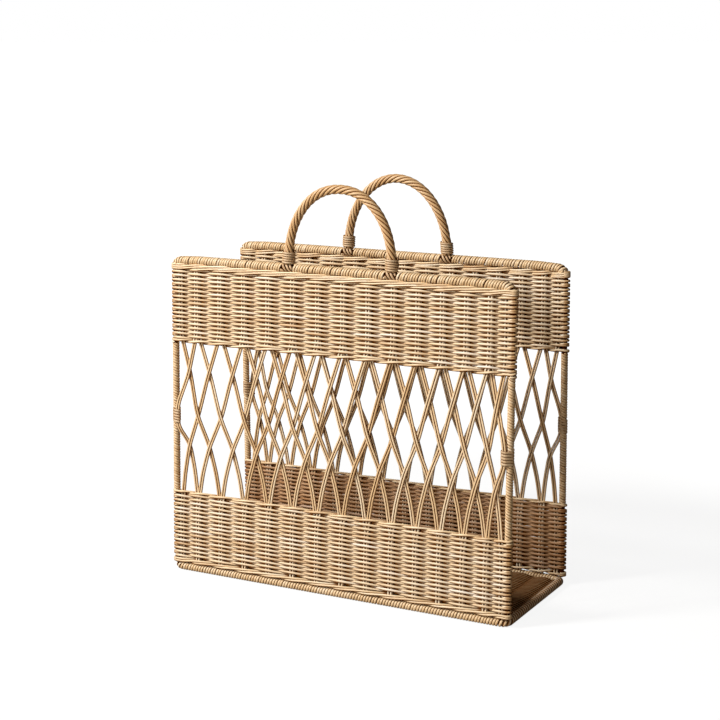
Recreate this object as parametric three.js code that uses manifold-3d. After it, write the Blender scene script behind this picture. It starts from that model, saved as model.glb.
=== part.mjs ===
// Magazine basket: two roped-handle lattice panels of rattan standing on a wrapped base ring
// with a woven floor. Millimetres, +Z up, front towards -Y, origin on the ground under the centre.
import * as THREE from "three";
import { mergeVertices } from "three/addons/utils/BufferGeometryUtils.js";
import Module from "manifold-3d";

// Overall sizes, between centrelines
const WIDTH = 400; // between the two posts of a panel, at the base
const DEPTH = 152.3; // between the two panels, at the base
const PANEL_HEIGHT = 345.6; // from the base ring up to the top rail
const RAIL_DRAW_IN = 6.46; // how far each panel leans inwards at its rail
const POST_DRAW_IN = 1.44; // how far each post leans inwards at the rail

// Clearance between pieces that lie against each other
const CLEARANCE = 0.3;
const OVERRUN = 1; // how far a cut runs past the piece it opens

// Cane frame and the reed wound on it
const CANE_RADIUS = 2.7; // hoops and base ring
const HOOP_BEND = 9.5; // centreline radius of a hoop's upper corners
const BASE_BEND = 8; // centreline radius of the base ring's corners
const RAIL_WRAP = 1.7; // thickness of the wrapping on the top rail
const POST_WRAP = 0.75; // thickness of the wrapping on the posts
const BASE_WRAP = 1.5; // thickness of the wrapping on the base ring

// Lattice of paired rods
const ROD = 2.55; // diameter of one rod
const ROD_FLAT = 2.9; // width of the flat where crossing pairs press together
const PRESS = 0.1; // depth to which crossing pairs press together
const COLUMNS = 15; // stake columns in a panel
const END_BAY_SHARE = 0.725; // the bay beside a post, as a share of a full bay
const COLUMN_DRIFT = 10.3; // hand spacing sets the middle columns up to this far to the right
const COLUMN_DRIFT_POWER = 1.5; // above 1, the drift is greatest right of the middle
const LOWER_BAND_TOP = 87.3; // above the base ring's centreline
const LATTICE_HEIGHT = 166.4; // open height between the two woven bands
const CROSSING_SHARES = [0.808, 0.532, 0.308]; // heights of the crossings in the open height
const CURVE_HEIGHT_SHARE = 0.13; // where a rod starts to turn upright above the lower band
const CURVE_REACH_SHARE = 0.555; // how far across it has come by then
const BINDING_DROP = 2.5; // the post binding sits this far below the middle crossing
const BOUND_INSET = 4.3; // from a post across to the pair that is bound to its outer side
const GATHER_DEPTH = 15; // this deep in a band, a column's two pairs stand one behind the other

// Woven bands and twined borders
const BAND_WALL = 2.1; // weaver thickness over a stake
const BAND_WAIST = 5.4; // band thickness midway between stakes
const BAND_END_WALL = 1.3; // weaver thickness round a post
const FOOT_TWINE = 5.2; // heights of the twined borders
const LOWER_TWINE = 3.5;
const UPPER_TWINE = 5;
const RAIL_TWINE_END = 1.5; // how far the rail twine stops short of the hoop's bend

// Floor
const FLOOR_STAKES = 13;
const FLOOR_STAKE_RADIUS = 1.75;
const FLOOR_END_INSET = 14; // from the base ring's middle line in to the end stakes
const FLOOR_WALL = 1.4; // weaver thickness over a floor stake
const FLOOR_WAIST = 3.4; // floor thickness midway between stakes

// Bindings of round reed
const REED_RADIUS = 1.2;
const BINDING_TURNS = 5;
const BINDING_PITCH = 3.05;
const BINDING_RUN = 1; // how far the rods stay upright past the binding
const COLLAR_TURNS = 4;
const COLLAR_PITCH = 2.9;
const LASHING_TURNS = 3;
const LASHING_PITCH = 3.6;

// Roped bow handles
const BOW_HALF_SPAN = 61; // between the bow's crown line and the middle of a foot
const BOW_RISE = 77.5; // height of the half ellipse
const BOW_SPRING = 6.3; // from the rail's centreline up to where the ellipse springs
const ROPE_RADIUS = 5.3;
const ROPE_NECK_RADIUS = 4.3; // where the collars squeeze the rope
const ROPE_GROOVE_SHARE = 0.84; // depth of the valleys between the strands
const ROPE_STRANDS = 6;
const ROPE_LAY = 48; // length of one full twist
const ROPE_SWELL = 5; // length over which the rope swells above its collar
const HANDLE_SHIFT = { front: 4.6, back: 0.6 }; // sideways offset of each bow, to the right

// Facets
const ROD_SIDES = 8;
const FLOOR_STAKE_SIDES = 6;
const BEND_STEPS = 4;
const REED_SIDES = 4;
const REED_STEPS = 10; // per turn
const END_STEPS = 6; // round the end of a band
const FOOT_STEPS = 3; // rope stations under a collar
const BOW_STEPS = 28; // rope stations between the collars
const MERGE = 1e-4; // points closer than this are one

// Sizes that follow
const HALF_WIDTH = WIDTH / 2;
const HALF_DEPTH = DEPTH / 2;
const CANE_BORE = CANE_RADIUS + CLEARANCE;
const RAIL_RADIUS = CANE_BORE + RAIL_WRAP;
const POST_RADIUS = CANE_BORE + POST_WRAP;
const BASE_RADIUS = CANE_BORE + BASE_WRAP;
const PAIR_HALF = ROD; // half the width of a pair lying side by side
const PAIR_DEPTH = (ROD + CLEARANCE) / 2; // from a band's middle to each pair of a column
const END_INSET = POST_RADIUS + CLEARANCE + PAIR_HALF; // from a post to its end column
const BAY = (WIDTH - 2 * END_INSET) / (COLUMNS - 3 + 2 * END_BAY_SHARE);
const WEAVE_LIFT = ROD / 2 - PRESS / 2; // how far a pair moves out of plane at a crossing
const POST_ROOM = POST_RADIUS / Math.cos(Math.PI / ROD_SIDES) + CLEARANCE; // a pair's least reach
const BOUND_DEPTH = ROD / 2 + Math.sqrt(POST_ROOM ** 2 - (BOUND_INSET - ROD_FLAT / 2) ** 2);
const STAKE_ROOM = PAIR_DEPTH + ROD / 2 + CLEARANCE; // half thickness of the stakes' channels
const BAND_CREST = STAKE_ROOM + BAND_WALL;
const BAND_END_RADIUS = CANE_BORE + BAND_END_WALL;

// Heights above the base ring's centreline
const RING_ROOM = BASE_RADIUS + CLEARANCE; // from the base ring's middle line to what meets it
const FOOT = RING_ROOM;
const LATTICE_TOP = LOWER_BAND_TOP + LATTICE_HEIGHT;
const TOP_GATHER = LATTICE_TOP + GATHER_DEPTH;
const LOW_GATHER = LOWER_BAND_TOP - GATHER_DEPTH;
const CURVE = LOWER_BAND_TOP + CURVE_HEIGHT_SHARE * LATTICE_HEIGHT;
const BAND_TOP = PANEL_HEIGHT - HOOP_BEND;
const RAIL_UNDERSIDE = PANEL_HEIGHT - RAIL_RADIUS - CLEARANCE;
const CROSSINGS = CROSSING_SHARES.map((share) => LOWER_BAND_TOP + share * LATTICE_HEIGHT);
const BINDING_MIDDLE = CROSSINGS[1] - BINDING_DROP;
const BINDING_HALF = (BINDING_TURNS * BINDING_PITCH) / 2;

// The bow's feet
const REED_SPREAD = 1 / Math.cos(Math.PI / REED_STEPS); // keeps a winding's straight steps outside
const LASHING_RADIUS = CANE_BORE + REED_RADIUS;
const STAKE_TOP = PANEL_HEIGHT - LASHING_RADIUS * REED_SPREAD - REED_RADIUS - CLEARANCE;
const LASHING_HALF = (LASHING_TURNS * LASHING_PITCH) / 2 + REED_RADIUS;
const SEAT = PANEL_HEIGHT + LASHING_RADIUS + REED_RADIUS + CLEARANCE; // under side of the bow
const COLLAR_RADIUS = ROPE_NECK_RADIUS + CLEARANCE + REED_RADIUS;
const COLLAR_START = SEAT + REED_RADIUS;
const COLLAR_TOP = COLLAR_START + COLLAR_TURNS * COLLAR_PITCH + REED_RADIUS;

const wasm = await Module();
wasm.setup();

const finish = (color, roughness) =>
  new THREE.MeshStandardMaterial({ color, roughness, metalness: 0 });
const CANE = finish(0xb08a56, 0.65);
const WRAPPING = finish(0xe0c08a, 0.5);
const WEAVE = finish(0xd2aa6e, 0.6);
const TWINE = finish(0xc89c5c, 0.6);
const LATTICE = finish(0xc9985a, 0.5);
const ROPE = finish(0xc69a5e, 0.55);
const REED = finish(0xb98c50, 0.55);

// Turns points and faces into a closed geometry whose faces point outwards.
function closedGeometry(points, faces) {
  const signed = faces.reduce((sum, [a, b, c]) => {
    const cross = new THREE.Vector3().crossVectors(points[b], points[c]);
    return sum + points[a].dot(cross);
  }, 0);
  const order = signed < 0 ? faces.map(([a, b, c]) => [a, c, b]) : faces;
  const geometry = new THREE.BufferGeometry().setFromPoints(points);
  return geometry.setIndex(order.flat());
}

// The faces of the wall between two rings of n points, whose first points are a and b.
function wall(a, b, n) {
  const faces = [];
  for (let j = 0; j < n; j++) {
    const k = (j + 1) % n;
    faces.push([a + j, a + k, b + k], [a + j, b + k, b + j]);
  }
  return faces;
}

// A solid through rings of points that all follow one plane section.
function loft(rings, section) {
  const n = section.length;
  const last = (rings.length - 1) * n;
  const faces = [];
  for (let r = 0; r < last; r += n) faces.push(...wall(r, r + n, n));
  for (const [a, b, c] of THREE.ShapeUtils.triangulateShape(section, [])) {
    faces.push([c, b, a], [a + last, b + last, c + last]);
  }
  return closedGeometry(rings.flat(), faces);
}

// A solid through rings that come back to the first ring.
function closedLoft(rings) {
  const n = rings[0].length;
  const total = rings.length * n;
  const faces = rings.flatMap((_, i) => wall(i * n, ((i + 1) * n) % total, n));
  return closedGeometry(rings.flat(), faces);
}

// A hollow solid between outer and inner rings of equal count.
function sleeve(outer, inner) {
  const n = outer[0].length;
  const last = (outer.length - 1) * n;
  const shift = outer.length * n;
  const faces = [];
  for (let r = 0; r < last; r += n) {
    faces.push(...wall(r, r + n, n));
    faces.push(...wall(shift + r + n, shift + r, n));
  }
  faces.push(...wall(shift, 0, n), ...wall(last, shift + last, n));
  return closedGeometry([...outer.flat(), ...inner.flat()], faces);
}

// A regular section with flats tangent to the circle of this radius.
function roundSection(radius, sides = ROD_SIDES) {
  const corner = radius / Math.cos(Math.PI / sides);
  return Array.from({ length: sides }, (_, i) => {
    const angle = ((i + 1 / 2) * 2 * Math.PI) / sides;
    return new THREE.Vector2(Math.cos(angle), Math.sin(angle)).multiplyScalar(corner);
  });
}

// Rings of a section along a path that lies in the plane with this normal.
function planeRings(path, section, normal, closes = false) {
  const count = path.length;
  return path.map((point, i) => {
    const before = closes ? path[(i + count - 1) % count] : path[Math.max(i - 1, 0)];
    const after = closes ? path[(i + 1) % count] : path[Math.min(i + 1, count - 1)];
    const along = after.clone().sub(before).normalize();
    const side = new THREE.Vector3().crossVectors(normal, along);
    return section.map((p) =>
      point.clone().addScaledVector(side, p.x).addScaledVector(normal, p.y),
    );
  });
}

function distinct(points) {
  return points.filter((p, i) => i === 0 || p.distanceTo(points[i - 1]) > MERGE);
}

// manifold-3d joins and cuts
function toSolid(geometry) {
  const bare = geometry.clone();
  bare.deleteAttribute("normal");
  bare.deleteAttribute("uv");
  const merged = mergeVertices(bare, MERGE);
  const mesh = new wasm.Mesh({
    numProp: 3,
    vertProperties: merged.attributes.position.array,
    triVerts: new Uint32Array(merged.index.array),
  });
  return new wasm.Manifold(mesh);
}

function toGeometry(solid) {
  const { vertProperties, triVerts } = solid.getMesh();
  return new THREE.BufferGeometry()
    .setAttribute("position", new THREE.BufferAttribute(vertProperties, 3))
    .setIndex(new THREE.BufferAttribute(triVerts, 1));
}

function addMesh(group, name, geometry, material) {
  const mesh = new THREE.Mesh(geometry, material);
  mesh.name = name;
  group.add(mesh);
}

const UP = new THREE.Vector3(0, 0, 1);
const OUT = new THREE.Vector3(0, -1, 0); // a panel's outer side, in its own frame
const ALONG = new THREE.Vector3(1, 0, 0);

function extrudeUp(shape, low, high) {
  const geometry = new THREE.ExtrudeGeometry(shape, { depth: high - low, bevelEnabled: false });
  return geometry.translate(0, 0, low);
}

// Lays a shape drawn in the width and height plane along Y, centred.
function crosswise(shape, length) {
  const basis = new THREE.Matrix4().makeBasis(ALONG, UP, OUT);
  return extrudeUp(shape, -length / 2, length / 2).applyMatrix4(basis);
}

// Base ring

// The ring's plan, side by side from the front, each from the middle of a corner to the next.
function basePlan() {
  const along = HALF_WIDTH - BASE_BEND;
  const across = HALF_DEPTH - BASE_BEND;
  const path = new THREE.Path();
  const corner = (x, y, from, to) =>
    path.absarc(x, y, BASE_BEND, (from * Math.PI) / 4, (to * Math.PI) / 4);
  corner(-along, -across, 5, 6);
  corner(along, -across, 6, 7);
  corner(along, -across, 7, 8);
  corner(along, across, 0, 1);
  corner(along, across, 1, 2);
  corner(-along, across, 2, 3);
  corner(-along, across, 3, 4);
  corner(-along, -across, 4, 5);
  const points = distinct(path.getPoints(BEND_STEPS / 4));
  return points.slice(0, -1).map((p) => new THREE.Vector3(p.x, p.y, 0));
}

const baseRings = (radius) => planeRings(basePlan(), roundSection(radius), UP, true);
const baseLoop = (radius) => closedLoft(baseRings(radius));

// The wrapping on one side, mitred to its neighbours in the middle of the corners.
function baseWrap(turn) {
  const part = (radius) => {
    const all = baseRings(radius);
    const count = all.length / 4;
    const rings = [...all, all[0]].slice(turn * count, (turn + 1) * count + 1);
    const nudge = (ring, quarter, distance) => {
      const way = new THREE.Vector3(1, -1, 0).normalize();
      way.applyAxisAngle(UP, (quarter * Math.PI) / 2).multiplyScalar(distance);
      return ring.map((p) => p.clone().add(way));
    };
    const first = nudge(rings[0], turn, CLEARANCE / 2);
    const last = nudge(rings[count], turn + 1, -CLEARANCE / 2);
    return [first, ...rings.slice(1, -1), last];
  };
  return sleeve(part(BASE_RADIUS), part(CANE_BORE));
}

// Floor

const floorStakePlaces = Array.from({ length: FLOOR_STAKES }, (_, i) => {
  const reach = HALF_WIDTH - FLOOR_END_INSET;
  return THREE.MathUtils.lerp(-reach, reach, i / (FLOOR_STAKES - 1));
});

// The floor's plan inside the base ring, cut across at the ring's bends.
function floorPlan() {
  const [x, y] = [HALF_WIDTH - RING_ROOM, HALF_DEPTH - RING_ROOM];
  const bend = BASE_BEND - RING_ROOM;
  const right = [
    new THREE.Vector2(x - bend, -y),
    new THREE.Vector2(x, bend - y),
    new THREE.Vector2(x, y - bend),
    new THREE.Vector2(x - bend, y),
  ];
  return new THREE.Shape([...right, ...right.map((p) => p.clone().negate())]);
}

// Wavy over the stakes, with a channel for each.
function floorWeave() {
  const crest = FLOOR_STAKE_RADIUS + CLEARANCE + FLOOR_WALL;
  const under = [new THREE.Vector2(-HALF_WIDTH, -FLOOR_WAIST / 2)];
  floorStakePlaces.forEach((x, i) => {
    if (i > 0) under.push(new THREE.Vector2((x + floorStakePlaces[i - 1]) / 2, -FLOOR_WAIST / 2));
    under.push(new THREE.Vector2(x, -crest));
  });
  under.push(new THREE.Vector2(HALF_WIDTH, -FLOOR_WAIST / 2));
  const top = under.map((p) => new THREE.Vector2(p.x, -p.y)).reverse();
  const shape = new THREE.Shape([...under, ...top]);
  for (const x of floorStakePlaces) {
    const bore = roundSection(FLOOR_STAKE_RADIUS + CLEARANCE, FLOOR_STAKE_SIDES);
    shape.holes.push(new THREE.Path(bore.map((p) => new THREE.Vector2(p.x + x, p.y))));
  }
  const plan = toSolid(extrudeUp(floorPlan(), -2 * crest, 2 * crest));
  return toGeometry(toSolid(crosswise(shape, DEPTH)).intersect(plan));
}

function floorStake(x) {
  const section = roundSection(FLOOR_STAKE_RADIUS, FLOOR_STAKE_SIDES);
  const shape = new THREE.Shape(section.map((p) => new THREE.Vector2(p.x + x, p.y)));
  return crosswise(shape, DEPTH - 2 * RING_ROOM);
}

// Panels, drawn upright in the XZ plane with the outer side towards -Y

const LAST = COLUMNS - 1;
const columnNumbers = Array.from({ length: COLUMNS }, (_, i) => i);
const isEndColumn = (number) => number === 0 || number === LAST;

// Where a column would stand with even bays between narrower end bays.
function evenX(number) {
  const endBay = END_BAY_SHARE * BAY;
  const start = END_INSET - HALF_WIDTH;
  if (number <= 1) return start + number * endBay;
  if (number >= LAST - 1) return -start - (LAST - number) * endBay;
  return start + endBay + (number - 1) * BAY;
}

// The place across a panel of a column number; a half number is between two columns. Both panels
// drift to the basket's right, so the back one, which is turned half round, drifts the other way.
function columnX(number, mirror) {
  if (mirror < 0) return -columnX(LAST - number, 1);
  const drift = Math.sin(Math.PI * (number / LAST) ** COLUMN_DRIFT_POWER);
  return evenX(number) + COLUMN_DRIFT * drift;
}

// How far the pair to one side of a column stands off it at a height inside a band.
function spread(number, side, z, mirror) {
  if (!columnNumbers.includes(number + side)) return 0;
  const halfBay = Math.abs(columnX(number + side / 2, mirror) - columnX(number, mirror));
  const inUpper = z > LATTICE_TOP;
  const reach = inUpper ? halfBay : halfBay * (1 - CURVE_REACH_SHARE);
  const [gather, far] = inUpper ? [TOP_GATHER, CROSSINGS[0]] : [LOW_GATHER, CURVE];
  return reach * Math.max((z - gather) / (far - gather), 0);
}

function hoopPath() {
  const path = new THREE.Path();
  path.moveTo(-HALF_WIDTH, FOOT);
  path.lineTo(-HALF_WIDTH, BAND_TOP);
  path.absarc(HOOP_BEND - HALF_WIDTH, BAND_TOP, HOOP_BEND, Math.PI, Math.PI / 2, true);
  path.absarc(HALF_WIDTH - HOOP_BEND, BAND_TOP, HOOP_BEND, Math.PI / 2, 0, true);
  path.lineTo(HALF_WIDTH, FOOT);
  return distinct(path.getPoints(BEND_STEPS / 2));
}

const upright = (p) => new THREE.Vector3(p.x, 0, p.y);

function hoop() {
  const section = roundSection(CANE_RADIUS);
  return loft(planeRings(hoopPath().map(upright), section, OUT), section);
}

function wrapAlong(points, radius) {
  const path = points.map(upright);
  return sleeve(
    planeRings(path, roundSection(radius), OUT),
    planeRings(path, roundSection(CANE_BORE), OUT),
  );
}

function postWrap(side) {
  const x = side * HALF_WIDTH;
  const low = new THREE.Vector2(x, LOWER_BAND_TOP + CLEARANCE);
  return wrapAlong([low, new THREE.Vector2(x, LATTICE_TOP - CLEARANCE)], POST_RADIUS);
}

// The rail's wrapping round a corner, up to the lashing at x.
function railEndWrap(side, x) {
  const path = new THREE.Path();
  const middle = side * (HALF_WIDTH - HOOP_BEND);
  const start = Math.PI / (4 * BEND_STEPS);
  const from = side < 0 ? Math.PI - start : start;
  path.absarc(middle, BAND_TOP, HOOP_BEND, from, Math.PI / 2, side < 0);
  path.lineTo(x + side * (LASHING_HALF + CLEARANCE), PANEL_HEIGHT);
  return wrapAlong(distinct(path.getPoints(BEND_STEPS / 2)), RAIL_RADIUS);
}

function railMiddleWrap(left, right) {
  const inset = LASHING_HALF + CLEARANCE;
  const from = new THREE.Vector2(left + inset, PANEL_HEIGHT);
  return wrapAlong([from, new THREE.Vector2(right - inset, PANEL_HEIGHT)], RAIL_RADIUS);
}

// The wavy front edge of a band's plan, from the left post to the right one.
function bandEdge(mirror) {
  const at = (number, depth) => new THREE.Vector2(columnX(number, mirror), -depth);
  const points = [];
  for (const number of columnNumbers) {
    if (number > 0) points.push(at(number - 1 / 2, BAND_WAIST / 2));
    points.push(at(number, BAND_CREST));
  }
  return points;
}

// Points round the outside of a post: back to front round the left one, front to back round
// the right one. They start `from` an angle off the line between the posts.
function postEnd(side, radius, from) {
  return Array.from({ length: END_STEPS + 1 }, (_, i) => {
    const angle = from + ((2 * Math.PI - 2 * from) * i) / END_STEPS;
    const reach = new THREE.Vector2(-Math.cos(angle), -Math.sin(angle)).multiplyScalar(radius);
    return new THREE.Vector2(side * (HALF_WIDTH + reach.x), side * reach.y);
  });
}

// A straight channel for all stakes, `half` to each side of the middle, right through a border.
function stakeSlot(half, low, high) {
  const height = high - low + 2 * OVERRUN;
  return new THREE.BoxGeometry(2 * half, 2 * STAKE_ROOM, height).translate(0, 0, (low + high) / 2);
}

// A column's channel through a band; it flares from `gather` to where the pairs part.
function stakeRoom(number, low, high, gather, mirror) {
  const heights = [low - OVERRUN, gather, high + OVERRUN];
  const edge = (side) =>
    heights.map((z) => {
      const half = PAIR_HALF + CLEARANCE + spread(number, side, z, mirror);
      return new THREE.Vector2(columnX(number, mirror) + side * half, z);
    });
  const shape = new THREE.Shape([...edge(1), ...edge(-1).reverse()]);
  return crosswise(shape, 2 * STAKE_ROOM);
}

// The outline between two heights, bored for both posts and opened by the given rooms.
function woven(outline, low, high, rooms) {
  const bores = [-1, 1].map((side) => {
    const bore = roundSection(CANE_BORE).map((p) => p.setX(p.x + side * HALF_WIDTH));
    return extrudeUp(new THREE.Shape(bore), low - OVERRUN, high + OVERRUN);
  });
  const cuts = wasm.Manifold.union([...bores, ...rooms].map(toSolid));
  return toGeometry(toSolid(extrudeUp(new THREE.Shape(outline), low, high)).subtract(cuts));
}

// A woven band: it waves over the stake columns and is open where stakes and posts pass.
function band(low, high, gather, mirror) {
  const front = bandEdge(mirror);
  const back = front.map((p) => new THREE.Vector2(p.x, -p.y)).reverse();
  const start = Math.PI / 3;
  const left = postEnd(-1, BAND_END_RADIUS, start);
  const right = postEnd(1, BAND_END_RADIUS, start);
  const rooms = columnNumbers.map((number) => stakeRoom(number, low, high, gather, mirror));
  return woven([...left, ...front, ...right, ...back], low, high, rooms);
}

// A twined border: strands that run before and behind all the stakes and round both posts.
function postTwine(low, high) {
  const reach = HALF_WIDTH - END_INSET;
  const outline = [-1, 1].flatMap((side) => [
    ...postEnd(side, BAND_END_RADIUS, Math.PI / 2),
    new THREE.Vector2(side * reach, side * BAND_CREST),
    new THREE.Vector2(-side * reach, side * BAND_CREST),
  ]);
  return woven(outline, low, high, [stakeSlot(HALF_WIDTH, low, high)]);
}

// The border under the rail stops short of the hoop's bends.
function railTwine() {
  const reach = HALF_WIDTH - HOOP_BEND - RAIL_TWINE_END;
  const low = BAND_TOP + CLEARANCE;
  const height = RAIL_UNDERSIDE - low;
  const body = new THREE.BoxGeometry(2 * reach, 2 * BAND_CREST, height);
  const middle = low + height / 2;
  const room = stakeSlot(reach - BAND_WALL, low, RAIL_UNDERSIDE);
  return toGeometry(toSolid(body.translate(0, 0, middle)).subtract(toSolid(room)));
}

// Lattice

const pairSection = [
  new THREE.Vector2(PAIR_HALF, 0),
  new THREE.Vector2(ROD_FLAT / 2, ROD / 2),
  new THREE.Vector2(-ROD_FLAT / 2, ROD / 2),
  new THREE.Vector2(-PAIR_HALF, 0),
  new THREE.Vector2(-ROD_FLAT / 2, -ROD / 2),
  new THREE.Vector2(ROD_FLAT / 2, -ROD / 2),
];

const station = (x, y, z) => new THREE.Vector3(x, y, z);

// Where a pair stands in a column: before or behind its mate, or alone in an end column.
const pairY = (number, way) => (isEndColumn(number) ? 0 : way * PAIR_DEPTH);

// The route of the pair that leaves column `top` towards `way`, +1 for right and -1 for left.
// It crosses three others, over and under in turn, and stands in a column two bays on. The pair
// that reaches a post is bound to its outer side and turns back.
function pairRoute(top, way, mirror) {
  const fold = (number) => {
    const folded = Math.abs(number);
    return folded > LAST ? 2 * LAST - folded : folded;
  };
  const across = (number) => columnX(fold(number), mirror);
  const turnsBack = top + 2 * way < 0 || top + 2 * way > LAST;
  const bottom = fold(top + 2 * way);
  const wayIn = turnsBack ? -way : way; // its direction below the middle crossing
  const [topX, topY] = [across(top), pairY(top, way)];
  const [bottomX, bottomY] = [across(bottom), pairY(bottom, wayIn)];
  const route = [
    station(topX, topY, isEndColumn(top) ? BAND_TOP : STAKE_TOP),
    station(topX, topY, TOP_GATHER),
    station(across(top + way / 2), way * WEAVE_LIFT, CROSSINGS[0]),
  ];
  if (turnsBack) {
    const half = BINDING_HALF + REED_RADIUS + BINDING_RUN;
    const x = way * (HALF_WIDTH - BOUND_INSET);
    for (const z of [BINDING_MIDDLE + half, BINDING_MIDDLE - half]) {
      route.push(station(x, -BOUND_DEPTH, z));
    }
  } else {
    route.push(station(across(top + way), -way * WEAVE_LIFT, CROSSINGS[1]));
  }
  const low = station(across(top + (3 * way) / 2), wayIn * WEAVE_LIFT, CROSSINGS[2]);
  const gathered = station(bottomX, bottomY, LOW_GATHER);
  const curve = low.clone().lerp(gathered, CURVE_REACH_SHARE).setZ(CURVE);
  return [...route, low, curve, gathered, station(bottomX, bottomY, FOOT)];
}

function pair(top, way, mirror) {
  const rings = pairRoute(top, way, mirror).map((at) =>
    pairSection.map((p) => new THREE.Vector3(at.x + p.x, at.y + p.y, at.z)),
  );
  return loft(rings, pairSection);
}

// All the pairs of a panel, joined where they press on each other at the crossings.
function lattice(mirror) {
  const pairs = [];
  for (const number of columnNumbers) {
    if (number < LAST) pairs.push(toSolid(pair(number, 1, mirror)));
    if (number > 0) pairs.push(toSolid(pair(number, -1, mirror)));
  }
  return toGeometry(wasm.Manifold.union(pairs));
}

// Bindings

// One unbroken reed. place(angle) gives its middle and the way out from what it is wound on,
// both at `angle`, and `axis` runs along that piece.
function winding(name, turns, axis, place) {
  const steps = turns * REED_STEPS;
  const places = Array.from({ length: steps + 1 }, (_, i) => place((2 * Math.PI * i) / REED_STEPS));
  const section = Array.from({ length: REED_SIDES }, (_, i) => {
    const angle = (2 * Math.PI * (i + 1 / 2)) / REED_SIDES;
    return new THREE.Vector2(Math.cos(angle), Math.sin(angle)).multiplyScalar(REED_RADIUS);
  });
  const rings = places.map(({ middle, out }) =>
    section.map((p) => middle.clone().addScaledVector(out, p.x).addScaledVector(axis, p.y)),
  );
  reportGap(name, places);
  return loft(rings, section);
}

// Prints the least gap between two turns, measured between points of the reed's middle line.
function reportGap(name, places) {
  let least = Infinity;
  places.forEach((a, i) => {
    places.slice(i + REED_STEPS / 2).forEach((b) => {
      least = Math.min(least, a.middle.distanceTo(b.middle));
    });
  });
  console.log(`${name}: least gap between turns ${(least - 2 * REED_RADIUS).toFixed(2)} mm`);
}

// Round a post and the pair of rods on its outer side. The loop is the polygon that touches, at
// even angles, the hull of the post and both rods.
function postBinding(name, side) {
  const round = (inset, depth, radius) => ({
    middle: new THREE.Vector2(side * (HALF_WIDTH - inset), -depth),
    reach: radius + CLEARANCE + REED_RADIUS,
  });
  const bound = [
    round(0, 0, POST_RADIUS),
    round(BOUND_INSET - ROD / 2, BOUND_DEPTH, ROD / 2),
    round(BOUND_INSET + ROD / 2, BOUND_DEPTH, ROD / 2),
  ];
  const support = (angle) => {
    const out = new THREE.Vector2(Math.cos(angle), Math.sin(angle));
    return Math.max(...bound.map(({ middle, reach }) => middle.dot(out) + reach));
  };
  const step = (2 * Math.PI) / REED_STEPS;
  return winding(name, BINDING_TURNS, UP, (angle) => {
    const [a, b] = [angle - step / 2, angle + step / 2];
    const x = (support(a) * Math.sin(b) - support(b) * Math.sin(a)) / Math.sin(step);
    const y = (support(b) * Math.cos(a) - support(a) * Math.cos(b)) / Math.sin(step);
    const z = BINDING_MIDDLE + BINDING_HALF - (angle / (2 * Math.PI)) * BINDING_PITCH;
    const out = new THREE.Vector3(Math.cos(angle), Math.sin(angle), 0);
    return { middle: new THREE.Vector3(x, y, z), out };
  });
}

// Round the rail under a foot of the bow.
function lashing(name, x) {
  return winding(name, LASHING_TURNS, ALONG, (angle) => {
    const out = new THREE.Vector3(0, -Math.cos(angle), Math.sin(angle));
    const travel = (LASHING_TURNS / 2 - angle / (2 * Math.PI)) * LASHING_PITCH;
    const middle = new THREE.Vector3(x + travel, 0, PANEL_HEIGHT);
    return { middle: middle.addScaledVector(out, LASHING_RADIUS * REED_SPREAD), out };
  });
}

// Round the neck of the bow's leg.
function collar(name, side, shift) {
  return winding(name, COLLAR_TURNS, UP, (angle) => {
    const out = new THREE.Vector3(Math.cos(angle), Math.sin(angle), 0);
    const z = COLLAR_TOP - REED_RADIUS - (angle / (2 * Math.PI)) * COLLAR_PITCH;
    const middle = new THREE.Vector3(shift + side * bowHalfSpan(z), 0, z);
    return { middle: middle.addScaledVector(out, COLLAR_RADIUS * REED_SPREAD), out };
  });
}

// Handles

const BOW_BASE = PANEL_HEIGHT + BOW_SPRING;

// The bow's half width at a height.
function bowHalfSpan(z) {
  const rise = Math.max(z - BOW_BASE, 0) / BOW_RISE;
  return BOW_HALF_SPAN * Math.sqrt(1 - rise * rise);
}

const bowAngle = (z) => Math.asin((z - BOW_BASE) / BOW_RISE);

// The rope's centreline: close stations under the collars, even ones over the crown.
function bowPath(shift) {
  const right = [];
  for (let i = 0; i <= FOOT_STEPS; i++) {
    const z = SEAT + ((COLLAR_TOP - SEAT) * i) / FOOT_STEPS;
    right.push(new THREE.Vector3(bowHalfSpan(z), 0, z));
  }
  const from = bowAngle(COLLAR_TOP);
  for (let i = 1; i < BOW_STEPS / 2; i++) {
    const angle = from + ((Math.PI / 2 - from) * i) / (BOW_STEPS / 2);
    const rise = BOW_RISE * Math.sin(angle);
    right.push(new THREE.Vector3(BOW_HALF_SPAN * Math.cos(angle), 0, BOW_BASE + rise));
  }
  const crown = new THREE.Vector3(0, 0, BOW_BASE + BOW_RISE);
  const left = right.map((p) => new THREE.Vector3(-p.x, 0, p.z));
  const path = [...left, crown, ...right.reverse()];
  return path.map((p) => p.setX(p.x + shift));
}

// The strands' crests and valleys; they turn along the rope with its lay.
function ropeSection(radius, twist) {
  return Array.from({ length: 2 * ROPE_STRANDS }, (_, i) => {
    const angle = twist + (Math.PI * i) / ROPE_STRANDS;
    const reach = radius * (i % 2 === 0 ? 1 : ROPE_GROOVE_SHARE);
    return new THREE.Vector2(Math.cos(angle), Math.sin(angle)).multiplyScalar(reach);
  });
}

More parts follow.
